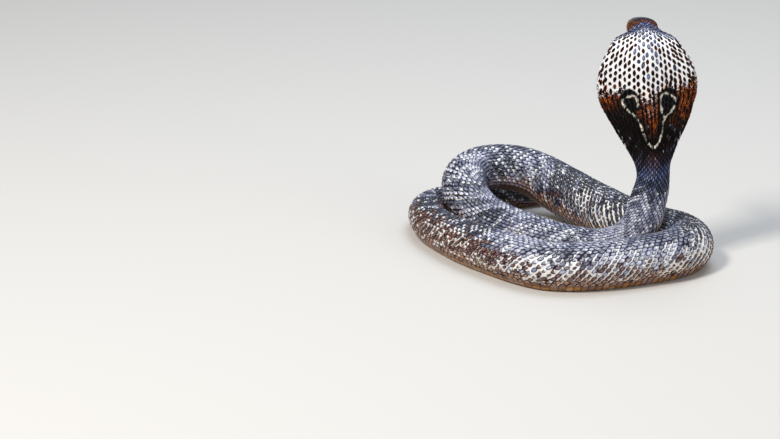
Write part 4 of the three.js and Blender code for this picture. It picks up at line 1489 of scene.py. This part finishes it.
# Eyes: a dark iris with a fine golden rim round a round pupil, under a clear glossy scale.
eyeDims = {
    "segments": 48,
    "facing": (0.18, 0.97, 0.12),
    "stops": [(0.0, "blackScale"), (0.60, "blackScale"), (0.72, "umberScale"), (0.84, "maroonScale"),
              (0.868, "ochreScute"), (0.885, "blackScale"), (1.0, "blackScale")],
}


def makeEyeMaterial(name, centre, axis):
    made = Recipe(name)
    coords = made.place()
    away = made.vector("NORMALIZE", made.vector("SUBTRACT", coords, centre))
    ramp = made.add("ValToRGB", {"Fac": made.vector("DOT_PRODUCT", away, axis, output="Value")})
    elements = ramp.color_ramp.elements
    while len(elements) < len(eyeDims["stops"]):
        elements.new(0.5)
    for element, (position, colour) in zip(elements, eyeDims["stops"]):
        element.position = position
        element.color = (*coatColours[colour], 1)
    tone = made.wander(coords, 1800.0, 0.6, 1.3)
    return made.finish({
        "Base Color": made.mix(1.0, ramp.outputs["Color"], tone, "MULTIPLY"),
        "Roughness": 0.12,
        "Coat Weight": 0.35,
        "Coat Roughness": 0.03,
    })


def makeEyes():
    place, rotation = headFrame()
    x, y, z = shieldDims["eye"]
    forward, outward, upward = eyeDims["facing"]
    segments = eyeDims["segments"]
    for name, nodeName, sign in (("eyeLeft", "eye_left", 1), ("eyeRight", "eye_right", -1)):
        centre = (place + np.array([x, sign * y, z]) @ rotation) * metre
        axis = np.array([forward, sign * outward, upward]) @ rotation
        clearSelection()
        bpy.ops.mesh.primitive_uv_sphere_add(segments=segments, ring_count=segments // 2,
                                             radius=shieldDims["eyeRadius"] * metre, location=centre)
        piece = bpy.context.object
        bpy.ops.object.transform_apply(location=True, rotation=True, scale=True)
        finishPiece(piece, name, makeEyeMaterial(name + "Glaze", tuple(centre), tuple(axis)))
        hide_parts(nodeName)


makeEyes()
print("eyes: set")


# Floor, light and camera
studioDims = {
    "floor": 6.0,
    "floorColour": (0.62, 0.60, 0.57, 1),
    "floorRoughness": 0.85,
    "aim": (0, 0, 0.08),
    "lamps": [
        ("keyLamp", (-1.1, -1.1, 1.9), 0.45, 46, (1.0, 0.96, 0.90)),
        ("skyLamp", (0.3, 0.6, 2.1), 1.4, 26, (0.80, 0.89, 1.0)),
        ("fillLamp", (1.6, -1.2, 0.9), 1.0, 8, (0.95, 0.97, 1.0)),
    ],
    "airColour": (0.80, 0.83, 0.88, 1),
    "airStrength": 0.42,
    "cameraPlace": (-0.1619, -2.30114, 0.77254),
    "cameraTilt": 72.0,
    "focal": 115.385,
    "sensor": 36,
}


def setUp(name, data, location, rotation):
    thing = bpy.data.objects.new(name, data)
    thing.location = location
    thing.rotation_euler = rotation
    bpy.context.scene.collection.objects.link(thing)
    return thing


def makeStudio():
    clearSelection()
    bpy.ops.mesh.primitive_plane_add(size=studioDims["floor"], location=(0, 0, 0))
    floor = bpy.context.object
    floor.name = "studioFloor"
    look = {"Base Color": studioDims["floorColour"], "Roughness": studioDims["floorRoughness"]}
    floor.data.materials.append(Recipe("paleFloor").finish(look))
    for name, location, size, power, colour in studioDims["lamps"]:
        light = bpy.data.lights.new(name, "AREA")
        light.energy = power
        light.size = size
        light.color = colour
        x, y, z = np.array(studioDims["aim"]) - location
        tilt = math.acos(-z / math.hypot(x, y, z))
        setUp(name, light, location, (tilt, 0, math.atan2(y, x) - math.pi / 2))
    scene = bpy.context.scene
    scene.world = bpy.data.worlds.new("studioAir")
    scene.world.use_nodes = True
    air = scene.world.node_tree.nodes["Background"]
    air.inputs["Color"].default_value = studioDims["airColour"]
    air.inputs["Strength"].default_value = studioDims["airStrength"]
    scene.view_settings.view_transform = "Standard"
    camera = bpy.data.cameras.new("photoCamera")
    camera.lens = studioDims["focal"]
    camera.sensor_width = studioDims["sensor"]
    camera.sensor_fit = "HORIZONTAL"
    camera.clip_start = 0.05
    tilt = math.radians(studioDims["cameraTilt"])
    scene.camera = setUp("photoCamera", camera, studioDims["cameraPlace"], (tilt, 0, 0))


makeStudio()
print("studio: floor, lamps, camera")
